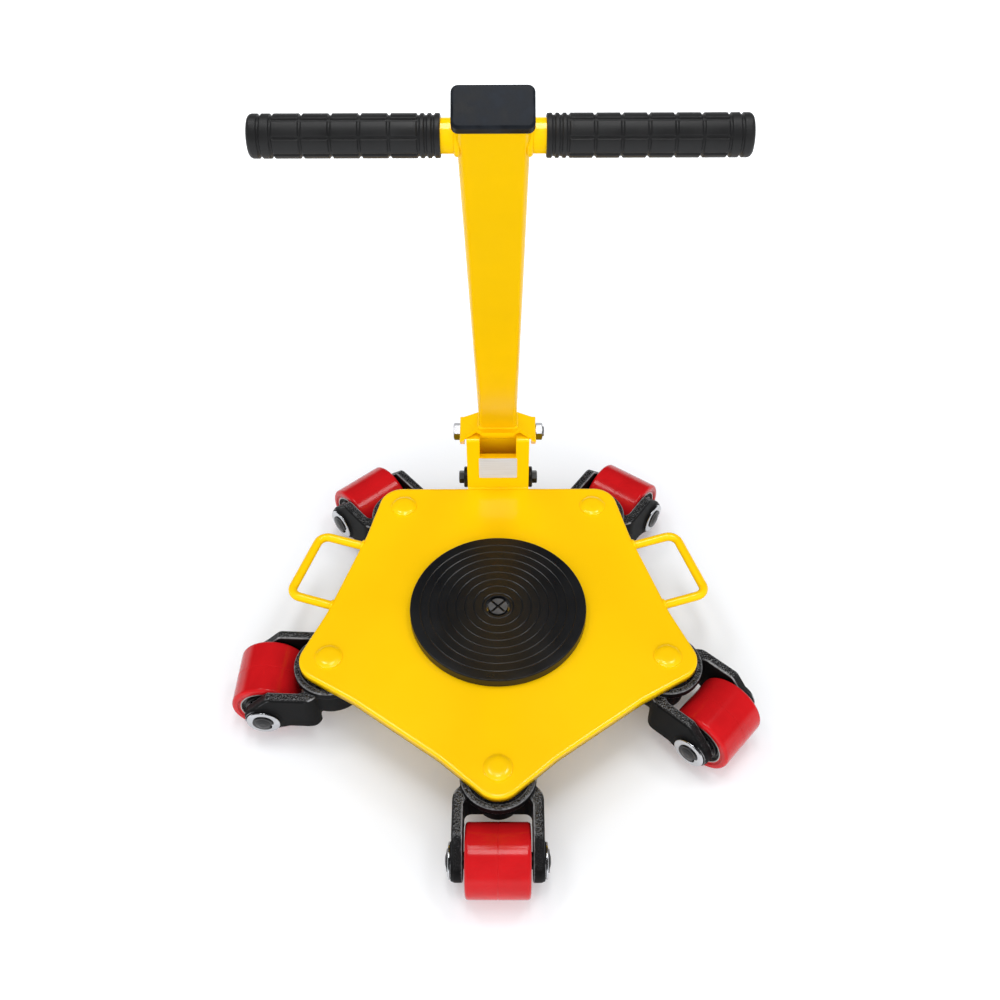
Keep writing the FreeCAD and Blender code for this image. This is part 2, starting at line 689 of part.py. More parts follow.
def make_fork():
    """Cast fork: two arms, joined by a web, on a bored swivel head with a dished collar."""
    body = new_body("fork")
    side = new_sketch(body, "fork_side", "XZ_Plane")
    add_outline(side, [
        ("shoulder_reach", "arm_bottom", "arm_heel_round"), ("arm_heel", "arm_bottom"),
        ("trail", "wheel_radius", "arm_end_radius", "centre"),
        ("trail - arm_knee_setback", "arm_top", "arm_knee_round"), ("shoulder_reach", "arm_top")])
    add_pad(body, "fork_blank", side, "2 * arm_outer", both_ways=True)
    add_edging(body, "fork_edges", "casting_edge",
               lambda edge: near(abs(edge.BoundBox.YMin), "arm_outer")
               and near(edge.BoundBox.YLength, "0"), kind="Chamfer")
    trim = new_sketch(body, "fork_plan", "XY_Plane", "fork_top")
    far_side = "arm_outer + cut_overrun"
    add_outline(trim, rectangle("shoulder_reach - cut_overrun", "-(%s)" % far_side,
                                "fork_far + cut_overrun", far_side))
    add_outline(trim, [("shoulder_reach", "-arm_outer", "shoulder_radius"), ("fork_far", "-arm_outer"),
                       ("fork_far", "arm_outer"), ("shoulder_reach", "arm_outer", "shoulder_radius")])
    add_pocket(body, "fork_shoulders", trim, "fork_top")
    pads = new_sketch(body, "fork_axle_pads", "XZ_Plane")
    add_circle(pads, "trail", "wheel_radius", "axle_pad_radius")
    add_pad(body, "fork_axle_pad", pads, "2 * axle_pad_face", both_ways=True)
    collar_base = "fork_top - collar_height"
    bowl = new_sketch(body, "fork_bowl", "XZ_Plane")
    add_outline(bowl, [("0", "head_bottom")] + eased_low("head_radius", "head_bottom", "head_edge")
                + [("head_radius", collar_base), ("0", collar_base)])
    add_revolution(body, "fork_bowl_turning", bowl)
    slot = new_sketch(body, "fork_slot", "XY_Plane", "fork_top")
    add_outline(slot, [("web_reach", "-arm_inner", "web_corner_round"), ("fork_far", "-arm_inner"),
                       ("fork_far", "arm_inner"), ("web_reach", "arm_inner", "web_corner_round")])
    add_pocket(body, "fork_wheel_gap", slot, "fork_top")
    arch = new_sketch(body, "fork_arch", "XY_Plane", "web_bottom")
    add_outline(arch, rectangle("shoulder_reach - cut_overrun", "-arm_inner",
                                "web_reach + cut_overrun", "arm_inner"))
    add_pocket(body, "fork_under_web", arch, "web_bottom")
    head = new_sketch(body, "fork_head", "XZ_Plane")
    add_outline(head, [("0", "boss_ground_gap")] + eased_low("boss_radius", "boss_ground_gap", "boss_edge")
                + [("boss_radius", collar_base), ("collar_radius", collar_base)]
                + eased_high("collar_radius", "fork_top", "collar_edge") + [("0", "fork_top")])
    add_revolution(body, "fork_head_turning", head)
    bore = new_sketch(body, "fork_bore", "XZ_Plane")
    bore_radius = "pin_radius + running_gap"
    add_outline(bore, [("0", "0"), (bore_radius, "0"), (bore_radius, "recess_floor"),
                       ("collar_bore", "recess_floor"), ("collar_bore", "fork_top + cut_overrun"),
                       ("0", "fork_top + cut_overrun")])
    add_revolution(body, "fork_boring", bore, cut=True)
    axle_hole = new_sketch(body, "fork_axle_hole", "XZ_Plane")
    add_circle(axle_hole, "trail", "wheel_radius", "axle_radius + fit_gap")
    add_pocket(body, "fork_axle_boring", axle_hole, "2 * axle_half", both_ways=True)
    return body


def on_axle(thing):
    """Lay a thing that is built along Z on the wheel's axle."""
    return place(thing, "trail", "0", "wheel_radius", axis=(1, 0, 0), angle="90")


def make_axle():
    groove = "axle_radius - clip_depth"
    half = [("axle_radius", "axle_washer_face"), (groove, "axle_washer_face"), (groove, "clip_face"),
            ("axle_radius", "clip_face")] + eased_high("axle_radius", "axle_half", "axle_end_edge")
    mirrored = [(x, "-(%s)" % z) for x, z in reversed(half)]
    axle = turned_body("axle", [("0", "-axle_half")] + mirrored + half + [("0", "axle_half")])
    return on_axle(group("axle_laid", [axle]))


def make_axle_hardware():
    """Zinc washers, retaining rings and side spacers on both ends of the axle."""
    bore = "axle_radius + fit_gap"
    washer = ring_body("axle_washer", bore, "axle_washer_radius", "axle_pad_face", "axle_washer_face",
                       "axle_washer_edge")
    clip_bore = "axle_radius - clip_depth + fit_gap"
    clip = ring_body("axle_clip", clip_bore, clip_bore + " + clip_width", "axle_washer_face", "clip_face")
    spacer = ring_body("axle_spacer", bore, bore + " + spacer_wall", "bearing_face + thrust_gap",
                       "arm_inner")
    pairs = [end_pair(thing.Name + "s", thing) for thing in (washer, clip, spacer)]
    return on_axle(group("axle_hardware", pairs))


def make_wheel():
    """Tread, hub and the pair of ball bearings, each laid on the axle."""
    tread = ring_body("tread", "hub_radius + fit_gap", "wheel_radius", "-tread_half", "tread_half",
                      "tread_edge")
    seat = "bearing_radius + fit_gap"
    bore = "bearing_radius - bearing_shoulder"
    hub = turned_body("hub", [
        (seat, "-hub_half"), ("hub_radius", "-hub_half"), ("hub_radius", "hub_half"), (seat, "hub_half"),
        (seat, "hub_seat"), (bore, "hub_seat"), (bore, "-hub_seat"), (seat, "-hub_seat")])
    shield = "bearing_face - shield_depth"
    bearing = turned_body("bearing", [
        ("axle_bore", "hub_seat"), ("bearing_radius", "hub_seat"), ("bearing_radius", "bearing_face"),
        ("bearing_radius - race_width", "bearing_face"), ("bearing_radius - race_width", shield),
        ("axle_bore + race_width", shield), ("axle_bore + race_width", "bearing_face"),
        ("axle_bore", "bearing_face")])
    return {"wheel_tread": on_axle(group("tread_laid", [tread])),
            "wheel_hub": on_axle(group("hub_laid", [hub])),
            "wheel_bearings": on_axle(end_pair("bearings", bearing))}


def make_casters():
    pieces = {"fork": make_fork(), "axle": make_axle(), "axle_hardware": make_axle_hardware()}
    pieces.update(make_wheel())
    for corner, turn in SWIVEL_ANGLES.items():
        for piece, thing in pieces.items():
            name = "%s_%s" % (corner, piece)
            keep(name, at_corner(name, thing, corner, turn))


# Turning load pad

def make_load_pad():
    keep("slip_ring", ring_body("slip_ring", "screw_radius + fit_gap", "slip_ring_radius",
                                "deck_top", "slip_ring_top"))
    keep("turntable_plate", ring_body("turntable_plate", "screw_radius + running_gap", "turntable_radius",
                                      "slip_ring_top", "turntable_top"))
    skirt = "turntable_radius + fit_gap"
    corners = [("pad_hole_radius", "turntable_top"), (skirt, "turntable_top"), (skirt, "slip_ring_top"),
               ("pad_radius", "slip_ring_top")] + eased_high("pad_radius", "pad_top", "pad_edge")
    floor = "pad_top - groove_depth"
    for i in reversed(range(PAD_GROOVE_COUNT)):
        middle = "groove_first_radius + groove_pitch * %d" % i
        outer = middle + " + groove_width / 2"
        inner = middle + " - groove_width / 2"
        corners += [(outer, "pad_top"), (outer, floor), (inner, floor), (inner, "pad_top")]
    corners += [("pad_hole_radius + pad_hole_edge", "pad_top"),
                ("pad_hole_radius", "pad_top - pad_hole_edge")]
    keep("load_pad", turned_body("load_pad", corners))


def make_pad_screw():
    """Pan-head pivot screw with a cross slot, and its washer and nut under the deck."""
    screw = keep("pad_screw", turned_body("pad_screw", [
        ("0", "screw_bottom"), ("screw_radius", "screw_bottom"), ("screw_radius", "screw_seat"),
        ("screw_head_radius", "screw_seat")]
        + eased_high("screw_head_radius", "screw_head_top", "screw_head_edge") + [("0", "screw_head_top")]))
    for turn in (45, 135):
        slot = new_sketch(screw, "screw_slot_%d" % turn, "XY_Plane", "screw_head_top")
        slot.AttachmentOffset = FreeCAD.Placement(slot.AttachmentOffset.Base,
                                                  FreeCAD.Rotation(FreeCAD.Vector(0, 0, 1), turn))
        add_outline(slot, rectangle("-screw_slot_length / 2", "-screw_slot_width / 2",
                                    "screw_slot_length / 2", "screw_slot_width / 2"))
        add_pocket(screw, "screw_slotting_%d" % turn, slot, "screw_slot_depth")
    bore = "screw_radius + fit_gap"
    keep("pad_screw_washer", ring_body("pad_screw_washer", bore, "screw_washer_radius",
                                       "screw_washer_base", "deck_bottom"))
    keep("pad_screw_nut", hex_body("pad_screw_nut", "screw_nut_flats", "screw_nut_base",
                                   "screw_nut_height", bore))


# Hitch bracket

def make_hitch_bracket():
    """Box bracket on the deck's rear edge: two cheeks, a low front wall and a rear wall."""
    body = keep("hitch_bracket", new_body("hitch_bracket"))
    plan = new_sketch(body, "bracket_plan", "XY_Plane", "deck_bottom")
    add_outline(plan, rectangle("-bracket_half", "bracket_front", "bracket_half", "bracket_rear"))
    add_outline(plan, rectangle("-bracket_inner", "bracket_front + front_wall",
                                "bracket_inner", "bracket_rear - rear_wall"))
    add_pad(body, "bracket_box", plan, "cheek_top - deck_bottom")
    cuts = [("sill", "sill_z", "bracket_front - cut_overrun", "bracket_front + front_wall"),
            ("rear", "rear_wall_top", "bracket_rear - rear_wall", "bracket_rear + cut_overrun")]
    for name, level, front, rear in cuts:
        notch = new_sketch(body, "bracket_%s_notch" % name, "XY_Plane", level)
        add_outline(notch, rectangle("-bracket_inner", front, "bracket_inner", rear))
        add_pocket(body, "bracket_%s_cut" % name, notch, "cheek_top - (%s) + cut_overrun" % level,
                   upwards=True)

    def top_edge(place_y):
        return lambda edge: level_edge("cheek_top")(edge) and near(edge.BoundBox.YMin, place_y) \
            and near(edge.BoundBox.YLength, "0")
    add_edging(body, "cheek_rear_round", "cheek_rise", top_edge("bracket_rear"))
    add_edging(body, "cheek_front_rounding", "cheek_front_round", top_edge("bracket_front"))
    holes = new_sketch(body, "bracket_holes", "YZ_Plane")
    add_circle(holes, "pivot_y", "pivot_z", "pivot_bolt_radius + running_gap")
    add_circle(holes, "hitch_bolt_y", "hitch_bolt_z", "hitch_bolt_radius + fit_gap")
    add_pocket(body, "bracket_drilling", holes, "bracket_width + cut_overrun", both_ways=True)


def make_hitch_fasteners():
    """Cross bar that ties the cheeks, its two bolts with thick washers, and the pivot sleeve."""
    bolt_bore = "hitch_bolt_radius + fit_gap"
    bar = turned_body("crossbar", [
        ("0", "-hitch_bolt_tip"), (bolt_bore, "-hitch_bolt_tip"), (bolt_bore, "-bracket_inner"),
        ("crossbar_radius", "-bracket_inner"), ("crossbar_radius", "bracket_inner"),
        (bolt_bore, "bracket_inner"), (bolt_bore, "hitch_bolt_tip"), ("0", "hitch_bolt_tip")])
    keep("hitch_crossbar", along_x(group("hitch_crossbar", [bar]), "hitch_bolt_y", "hitch_bolt_z"))
    head = new_body("hitch_bolt")
    hexagon_sketch = new_sketch(head, "hitch_bolt_hexagon", "XY_Plane", "hitch_washer_face")
    add_outline(hexagon_sketch, hexagon("hitch_bolt_flats"))
    add_pad(head, "hitch_bolt_head", hexagon_sketch, "hitch_bolt_head")
    shank = new_sketch(head, "hitch_bolt_circle", "XY_Plane", "hitch_washer_face")
    add_circle(shank, "0", "0", "hitch_bolt_radius")
    add_pad(head, "hitch_bolt_shank", shank, "hitch_washer_face - hitch_bolt_tip - thrust_gap",
            backwards=True)
    bolts = end_pair("hitch_bolt_pair", head)
    keep("hitch_bolts", along_x(group("hitch_bolts", [bolts]), "hitch_bolt_y", "hitch_bolt_z"))
    washer = ring_body("hitch_washer", bolt_bore, "hitch_washer_radius", "bracket_half",
                       "hitch_washer_face", "hitch_washer_edge")
    washers = end_pair("hitch_washer_pair", washer)
    keep("hitch_washers", along_x(group("hitch_washers", [washers]), "hitch_bolt_y", "hitch_bolt_z"))
    sleeve = ring_body("sleeve", "pivot_bolt_radius + running_gap", "pivot_sleeve_radius",
                       "-bracket_inner", "bracket_inner")
    keep("pivot_sleeve", along_x(group("pivot_sleeve", [sleeve]), "pivot_y", "pivot_z"))


# Drawbar

def make_yoke():
    """Bent plate: a flat under the post, two sloping shoulders and two ears round the pivot bolt."""
    body = keep("drawbar_yoke", new_body("drawbar_yoke"))
    right = [("yoke_flat_half", "yoke_under"), ("yoke_inner", "yoke_inner_z"), ("yoke_inner", "ear_root"),
             ("yoke_outer", "ear_root"), ("yoke_outer", "yoke_shoulder", "yoke_bend_round"),
             ("yoke_flat_half", "yoke_top")]
    left = [("-" + x, z) + tuple(more) for x, z, *more in reversed(right)]
    hat = new_sketch(body, "yoke_hat", "XZ_Plane", "-yoke_front")
    add_outline(hat, right + left)
    add_pad(body, "yoke_strap", hat, "yoke_depth", backwards=True)
    notches = new_sketch(body, "yoke_notches", "XY_Plane", "yoke_top")
    beyond = "yoke_front - cut_overrun"
    notch = [("yoke_tab_half", beyond), ("yoke_outer", beyond), ("yoke_outer", "yoke_front"),
             ("yoke_notch_half", "yoke_front + yoke_notch_depth"), ("yoke_tab_half", "yoke_front")]
    add_outline(notches, notch)
    add_outline(notches, [("-" + x, y) for x, y in reversed(notch)])
    add_pocket(body, "yoke_notching", notches, "yoke_top - ear_root")
    ear = new_sketch(body, "yoke_ear", "YZ_Plane", "yoke_inner")
    add_outline(ear, [("yoke_front", "ear_top"), ("pivot_y", "pivot_z", "ear_radius", "centre"),
                      ("pivot_y + ear_radius", "ear_top")])
    ear_pad = add_pad(body, "yoke_ear_pad", ear, "yoke_thickness")
    mirror = body.newObject("PartDesign::Mirrored", "yoke_ear_mirror")
    mirror.Originals = [ear_pad]
    mirror.MirrorPlane = (plane_of(body, "YZ_Plane"), [""])
    body.Tip = mirror
    doc.recompute()
    hole = new_sketch(body, "yoke_hole", "YZ_Plane")
    add_circle(hole, "pivot_y", "pivot_z", "pivot_bolt_radius + fit_gap")
    add_pocket(body, "yoke_drilling", hole, "2 * yoke_outer + cut_overrun", both_ways=True)


def make_pivot():
    """Hinge bolt with its nut and the thin washers between the ears and the cheeks."""
    bolt = new_body("pivot_bolt_form")
    flat = new_sketch(bolt, "pivot_bolt_hexagon", "XY_Plane", "-yoke_outer")
    add_outline(flat, hexagon("pivot_bolt_flats"))
    add_pad(bolt, "pivot_bolt_head", flat, "pivot_bolt_head", backwards=True)
    shank = new_sketch(bolt, "pivot_bolt_circle", "XY_Plane", "-yoke_outer")
    add_circle(shank, "0", "0", "pivot_bolt_radius")
    add_pad(bolt, "pivot_bolt_shank", shank, "2 * yoke_outer + pivot_nut_height + pivot_end_length")
    keep("pivot_bolt", along_x(group("pivot_bolt", [bolt]), "pivot_y", "pivot_z"))
    bore = "pivot_bolt_radius + fit_gap"
    nut = hex_body("pivot_nut_form", "pivot_bolt_flats", "yoke_outer", "pivot_nut_height", bore)
    keep("pivot_nut", along_x(group("pivot_nut", [nut]), "pivot_y", "pivot_z"))
    washer = ring_body("pivot_washer", bore, bore + " + pivot_washer_wall",
                       "bracket_half + thrust_gap", "yoke_inner")
    washers = end_pair("pivot_washer_pair", washer)
    keep("pivot_washers", along_x(group("pivot_washers", [washers]), "pivot_y", "pivot_z"))


def post_corners(margin, foot_run, head_run):
    """Side view of the leaning post, or of its bore: a level foot and a square head."""
    half = "(post_depth / 2 - %s)" % margin
    along = "(post_length + %s)" % head_run
    foot = [("foot_y + %s * lean_sin %s %s / lean_cos" % (foot_run, side, half),
             "yoke_top - %s * lean_cos" % foot_run) for side in "-+"]
    head = [("foot_y - %s * lean_sin %s %s * lean_cos" % (along, side, half),
             "yoke_top + %s * lean_cos %s %s * lean_sin" % (along, side, half)) for side in "+-"]
    return foot + head


def make_post():
    """Rectangular tube that leans forward over the deck."""
    body = keep("drawbar_post", new_body("drawbar_post"))
    side = new_sketch(body, "post_side", "YZ_Plane")
    add_outline(side, post_corners("0", "0", "0"))
    add_pad(body, "post_blank", side, "post_width", both_ways=True)

    def long_edge(edge):
        return edge.Length > value("post_length / 2")
    add_edging(body, "post_corner", "post_corner_radius", long_edge)
    bore = new_sketch(body, "post_bore", "YZ_Plane")
    add_outline(bore, post_corners("post_wall", "cut_overrun", "cut_overrun"))
    add_pocket(body, "post_hollow", bore, "post_width - 2 * post_wall", both_ways=True)


def make_cap():
    """Push-in end cap with a rounded flange over the post's head."""
    body = keep("post_cap", new_body("post_cap"))
    flange = new_sketch(body, "cap_flange", "XY_Plane")
    add_outline(flange, rectangle("-cap_width / 2", "-cap_depth / 2", "cap_width / 2", "cap_depth / 2",
                                  "cap_corner_radius"))
    add_pad(body, "cap_top", flange, "cap_height")
    add_edging(body, "cap_rounding", "cap_edge_round", level_edge("cap_height"))
    plug = new_sketch(body, "cap_plug", "XY_Plane")
    half_width = "(post_width / 2 - post_wall - cap_plug_gap)"
    half_depth = "(post_depth / 2 - post_wall - cap_plug_gap)"
    add_outline(plug, rectangle("-" + half_width, "-" + half_depth, half_width, half_depth))
    add_pad(body, "cap_plugging", plug, "cap_plug_depth", backwards=True)
    place(body, "0", "head_y", "head_z", axis=(1, 0, 0), angle=POST_LEAN_ANGLE)
    doc.recompute()


def on_side(name, form, side, stand_off):
    """Lay a form that is built along Z on the handle's line, from a place on the post's left or right."""
    turn = {"left": "-90", "right": "90"}[side]
    start = {"left": "-(%s)", "right": "%s"}[side] % stand_off
    keep(name, place(group(name, [form]), start, "bar_y", "bar_z", axis=(0, 1, 0), angle=turn))


def make_handle_bar(side):
    """Tube that stands square on one side of the post."""
    name = side + "_handle_bar"
    length = "grip_stand_off + %s_grip_length - grip_end_wall" % side
    form = ring_body(name + "_form", "bar_radius - bar_wall", "bar_radius", "0", length)
    on_side(name, form, side, "post_width / 2")


def make_grip(side):
    """Ribbed rubber grip with a closed outer end, built along Z from its inner end."""
    name = side + "_grip"
    length = name + "_length"
    rows = GRIP_ROW_COUNTS[side]
    inner_zone = "grip_ring_pitch * %d" % INNER_RING_COUNT
    outer_zone = "grip_ring_pitch * %d" % (OUTER_RING_COUNT + 1)
    row_pitch = "(%s - %s - %s) / %d" % (length, inner_zone, outer_zone, rows)
    middles = ["grip_ring_pitch * %d" % (i + 1) for i in range(INNER_RING_COUNT)]
    middles += ["%s + %s * %d" % (inner_zone, row_pitch, i + 1) for i in range(rows)]
    middles += ["%s - grip_ring_pitch * %d" % (length, i) for i in range(OUTER_RING_COUNT, 0, -1)]
    floor = "grip_radius - grip_groove_depth"
    ribs = []
    for middle in middles:
        low = middle + " - grip_groove_width / 2"
        high = middle + " + grip_groove_width / 2"
        ribs += [("grip_radius", low), (floor, low), (floor, high), ("grip_radius", high)]
    blind = length + " - grip_end_wall"
    form = turned_body(name + "_form", [("grip_bore", "0"), ("grip_radius", "0")] + ribs
                       + eased_high("grip_radius", length, "grip_end_edge")
                       + [("0", length), ("0", blind), ("grip_bore", blind)])
    on_side(name, form, side, "grip_start")


def check_and_write():
    """Stop if any object failed, then write every sub-part."""
    doc.recompute()
    failed = [thing.Name for thing in doc.Objects if {"Invalid", "Error"} & set(thing.State)]
    if failed:
        raise RuntimeError("failed objects: %s" % failed)
    for name, thing in NODES.items():
        if thing.Shape.isNull() or not thing.Shape.isValid() or not thing.Shape.Solids:
            raise RuntimeError("bad shape: " + name)
    os.makedirs("parts", exist_ok=True)
    for name, thing in NODES.items():
        thing.Shape.exportStep("parts/%s.step" % name)


make_deck()
for handle_side in HANDLE_ANGLES:
    make_carry_handle(handle_side)
make_kingpins()
make_casters()
make_load_pad()
make_pad_screw()
make_hitch_bracket()
make_hitch_fasteners()
make_yoke()
make_pivot()
make_post()
make_cap()
for grip_side in GRIP_ROW_COUNTS:
    make_handle_bar(grip_side)
    make_grip(grip_side)
check_and_write()
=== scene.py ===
import json
import math
from functools import partial

import bmesh
import bpy
import numpy
from bpy.props import FloatProperty, FloatVectorProperty, IntProperty, PointerProperty
from mathutils import Matrix, Vector
from mathutils.kdtree import KDTree


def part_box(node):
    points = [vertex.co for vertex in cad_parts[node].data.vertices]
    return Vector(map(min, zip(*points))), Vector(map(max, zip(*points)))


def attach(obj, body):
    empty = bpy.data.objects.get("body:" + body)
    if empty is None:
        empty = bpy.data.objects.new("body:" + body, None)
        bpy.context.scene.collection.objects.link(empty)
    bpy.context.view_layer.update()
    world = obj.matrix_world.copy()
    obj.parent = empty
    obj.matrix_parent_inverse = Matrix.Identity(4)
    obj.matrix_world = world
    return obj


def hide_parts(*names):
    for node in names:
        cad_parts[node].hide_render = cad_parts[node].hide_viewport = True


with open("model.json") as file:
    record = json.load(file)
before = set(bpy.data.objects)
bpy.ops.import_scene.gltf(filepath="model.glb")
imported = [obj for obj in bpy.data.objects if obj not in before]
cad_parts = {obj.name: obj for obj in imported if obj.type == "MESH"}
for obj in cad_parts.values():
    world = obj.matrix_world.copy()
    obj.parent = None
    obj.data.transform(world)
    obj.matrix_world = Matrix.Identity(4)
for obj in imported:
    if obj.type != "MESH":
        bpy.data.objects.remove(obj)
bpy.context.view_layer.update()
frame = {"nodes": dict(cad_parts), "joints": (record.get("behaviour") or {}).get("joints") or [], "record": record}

bl_info = {
    "name": "Machine Skate Finish",
    "version": (1, 0, 0),
    "blender": (4, 5, 0),
    "location": "View3D > Sidebar > Machine Skate",
    "description": "Finishes, castings, grips, treads, welds and bolts of a steerable machine skate",
    "category": "Object",
}

# Lengths are in metres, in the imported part's own frame.
JOINTS = {joint["name"]: joint for joint in frame["joints"]}
CASTERS = [name[:-len("_swivel")] for name in JOINTS if name.endswith("_swivel")]
ALONG_X = Vector((1, 0, 0))
# Points nearer than this are one, and faces that bend less than this lie in one plane
MERGE_DISTANCE = 1e-5
SAME_PLANE = math.radians(1.5)
# Clearance of treads and spacers from what they touch
FIT_EASE = 0.00003
# Map of turned pieces, layer of castings' edges that are lighter from wear and a painted highlight, and bends from
# which an edge is so lightened
TURNED_MAP = "Turned"
EDGE_LAYER = "edge"
EDGE_BEND = (0.00009, 0.00017)
# Where most of a noise's values lie, and the tint of the paint's reflections
NOISE_SPAN = (0.3, 0.7)
WARM_MIRROR = (1.0, 0.93, 0.72, 1.0)

# How finely round shapes are cut
ROUND_STEPS = 6
LATHE_SIDES = 96
TREAD_SIDES = 160
PAD_SIDES = 180
RING_POINTS = 48
HEX_STEPS = 8
DOME_STEPS = 24
BEAD_SIDES = 14
RIPPLE_STEPS = 5.0
GRIP_SIDES = 224
GRIP_RINGS = 360

# Edges that bend more than these stay crisp in the light
TURNED_BEND = math.radians(40)
TREAD_BEND = math.radians(24)
PAD_BEND = math.radians(14)
HEXAGON_BEND = math.radians(25)
SHEET_BEND = math.radians(30)
PLATE_BEND = math.radians(35)
GRIP_BEND = math.radians(60)

# Shares of a piece's own radius, width or thickness
AXLE_FLAT, AXLE_CURVE = 0.45, 0.5
SPACER_REACH = 1.4
RING_BORE = 0.92
SHANK_SHARE, THREAD_SHARE = 0.628, 0.82
BRIM_ROUND = 0.9
SCREW_RIM = 0.96
CHAMFER_SHARE = 0.95
GROOVE_WALL = (0.28, 0.78)
GRIP_ROOT = 0.3
BEAD_SWELL = (0.12, 0.90)
LABEL_CORNER, LABEL_BEVEL = 1.5, 0.3

# Turn of an open retaining ring, slope of a hexagon's chamfer, and how flat a kingpin's dome is
RING_TURN = math.radians(318)
CHAMFER_SLOPE = math.tan(math.radians(30))
DOME_POWER = 4.5

# Stage: reaches on the floor, upward slope where the walls fade, and each softbox's spot, size and power
FLOOR_HALF = 12.0
FLOOR_COLOUR = (0.80, 0.82, 0.85, 1.0)
FLOOR_FADE = (0.4, 1.3)
CONTACT_REACH = (0.20, 0.36)
WALL_FADE = (0.05, 0.22)
SENSOR_MILLIMETRES = 36.0
LAMP_HEIGHT = 2.3
SOFTBOXES = (("top_softbox", (0.0, -0.05), (0.34, 1.0), "top_power"),
             ("left_softbox", (-0.85, 0.35), (0.44, 0.62), "side_power"),
             ("right_softbox", (0.85, 0.35), (0.44, 0.62), "side_power"))


# Sizes and colours that a user would change

def length(name, description, default):
    return FloatProperty(name=name, description=description, default=default, min=0.0, precision=5,
                         subtype="DISTANCE", unit="LENGTH")


def whole_number(name, description, default, least=1):
    return IntProperty(name=name, description=description, default=default, min=least)


def amount(name, description, default):
    return FloatProperty(name=name, description=description, default=default)


def spot(name, description, default):
    return FloatVectorProperty(name=name, description=description, default=default, subtype="XYZ",
                               unit="LENGTH")


def colour(name, description, default):
    return FloatVectorProperty(name=name, description=description, default=default, size=3, min=0.0,
                               max=1.0, subtype="COLOR")


class SkateColours(bpy.types.PropertyGroup):
    yellow: colour("Yellow", "Gloss paint of the deck, hitch and drawbar", (0.98, 0.59, 0.0020))
    red: colour("Red", "Polyurethane of the wheel treads", (0.55, 0.0085, 0.0115))
    casting: colour("Casting", "Hammered paint of the caster forks", (0.0036, 0.0037, 0.0040))
    # Painted glints: light flecks of the hammered paint, only where it faces up
    casting_fleck: colour("Casting fleck", "Light flecks of the hammered paint", (0.10, 0.102, 0.107))
    # Edge colour: rubbed wear, and in part a painted highlight of the rounded edges
    casting_edge: colour("Casting edge", "Rubbed edges of the caster forks", (0.42, 0.425, 0.44))
    black_steel: colour("Black steel", "Oxide finish of axles and hitch bolts", (0.006, 0.006, 0.0065))
    rubber: colour("Rubber", "Load pad", (0.0044, 0.0052, 0.0068))
    grip: colour("Grip", "Rubber of the two hand grips", (0.0130, 0.0132, 0.0138))
    cap: colour("Cap", "Moulded plug in the head of the post", (0.0075, 0.0090, 0.0118))
    zinc: colour("Zinc", "Plated washers, bolts and nuts", (0.58, 0.59, 0.61))
    bolt: colour("Bolt", "Hinge bolt and nut", (0.17, 0.17, 0.175))
    steel: colour("Steel", "Ground bearing races", (0.34, 0.34, 0.35))
    hub: colour("Hub", "Turned rim of the wheels' cores", (0.46, 0.45, 0.43))
    screw: colour("Screw", "Worn head of the pad's pivot screw", (0.085, 0.087, 0.092))
    white: colour("White", "Slip ring under the turntable", (0.78, 0.78, 0.75))
    plate: colour("Label plate", "Bare aluminium of the label plate", (0.62, 0.68, 0.80))


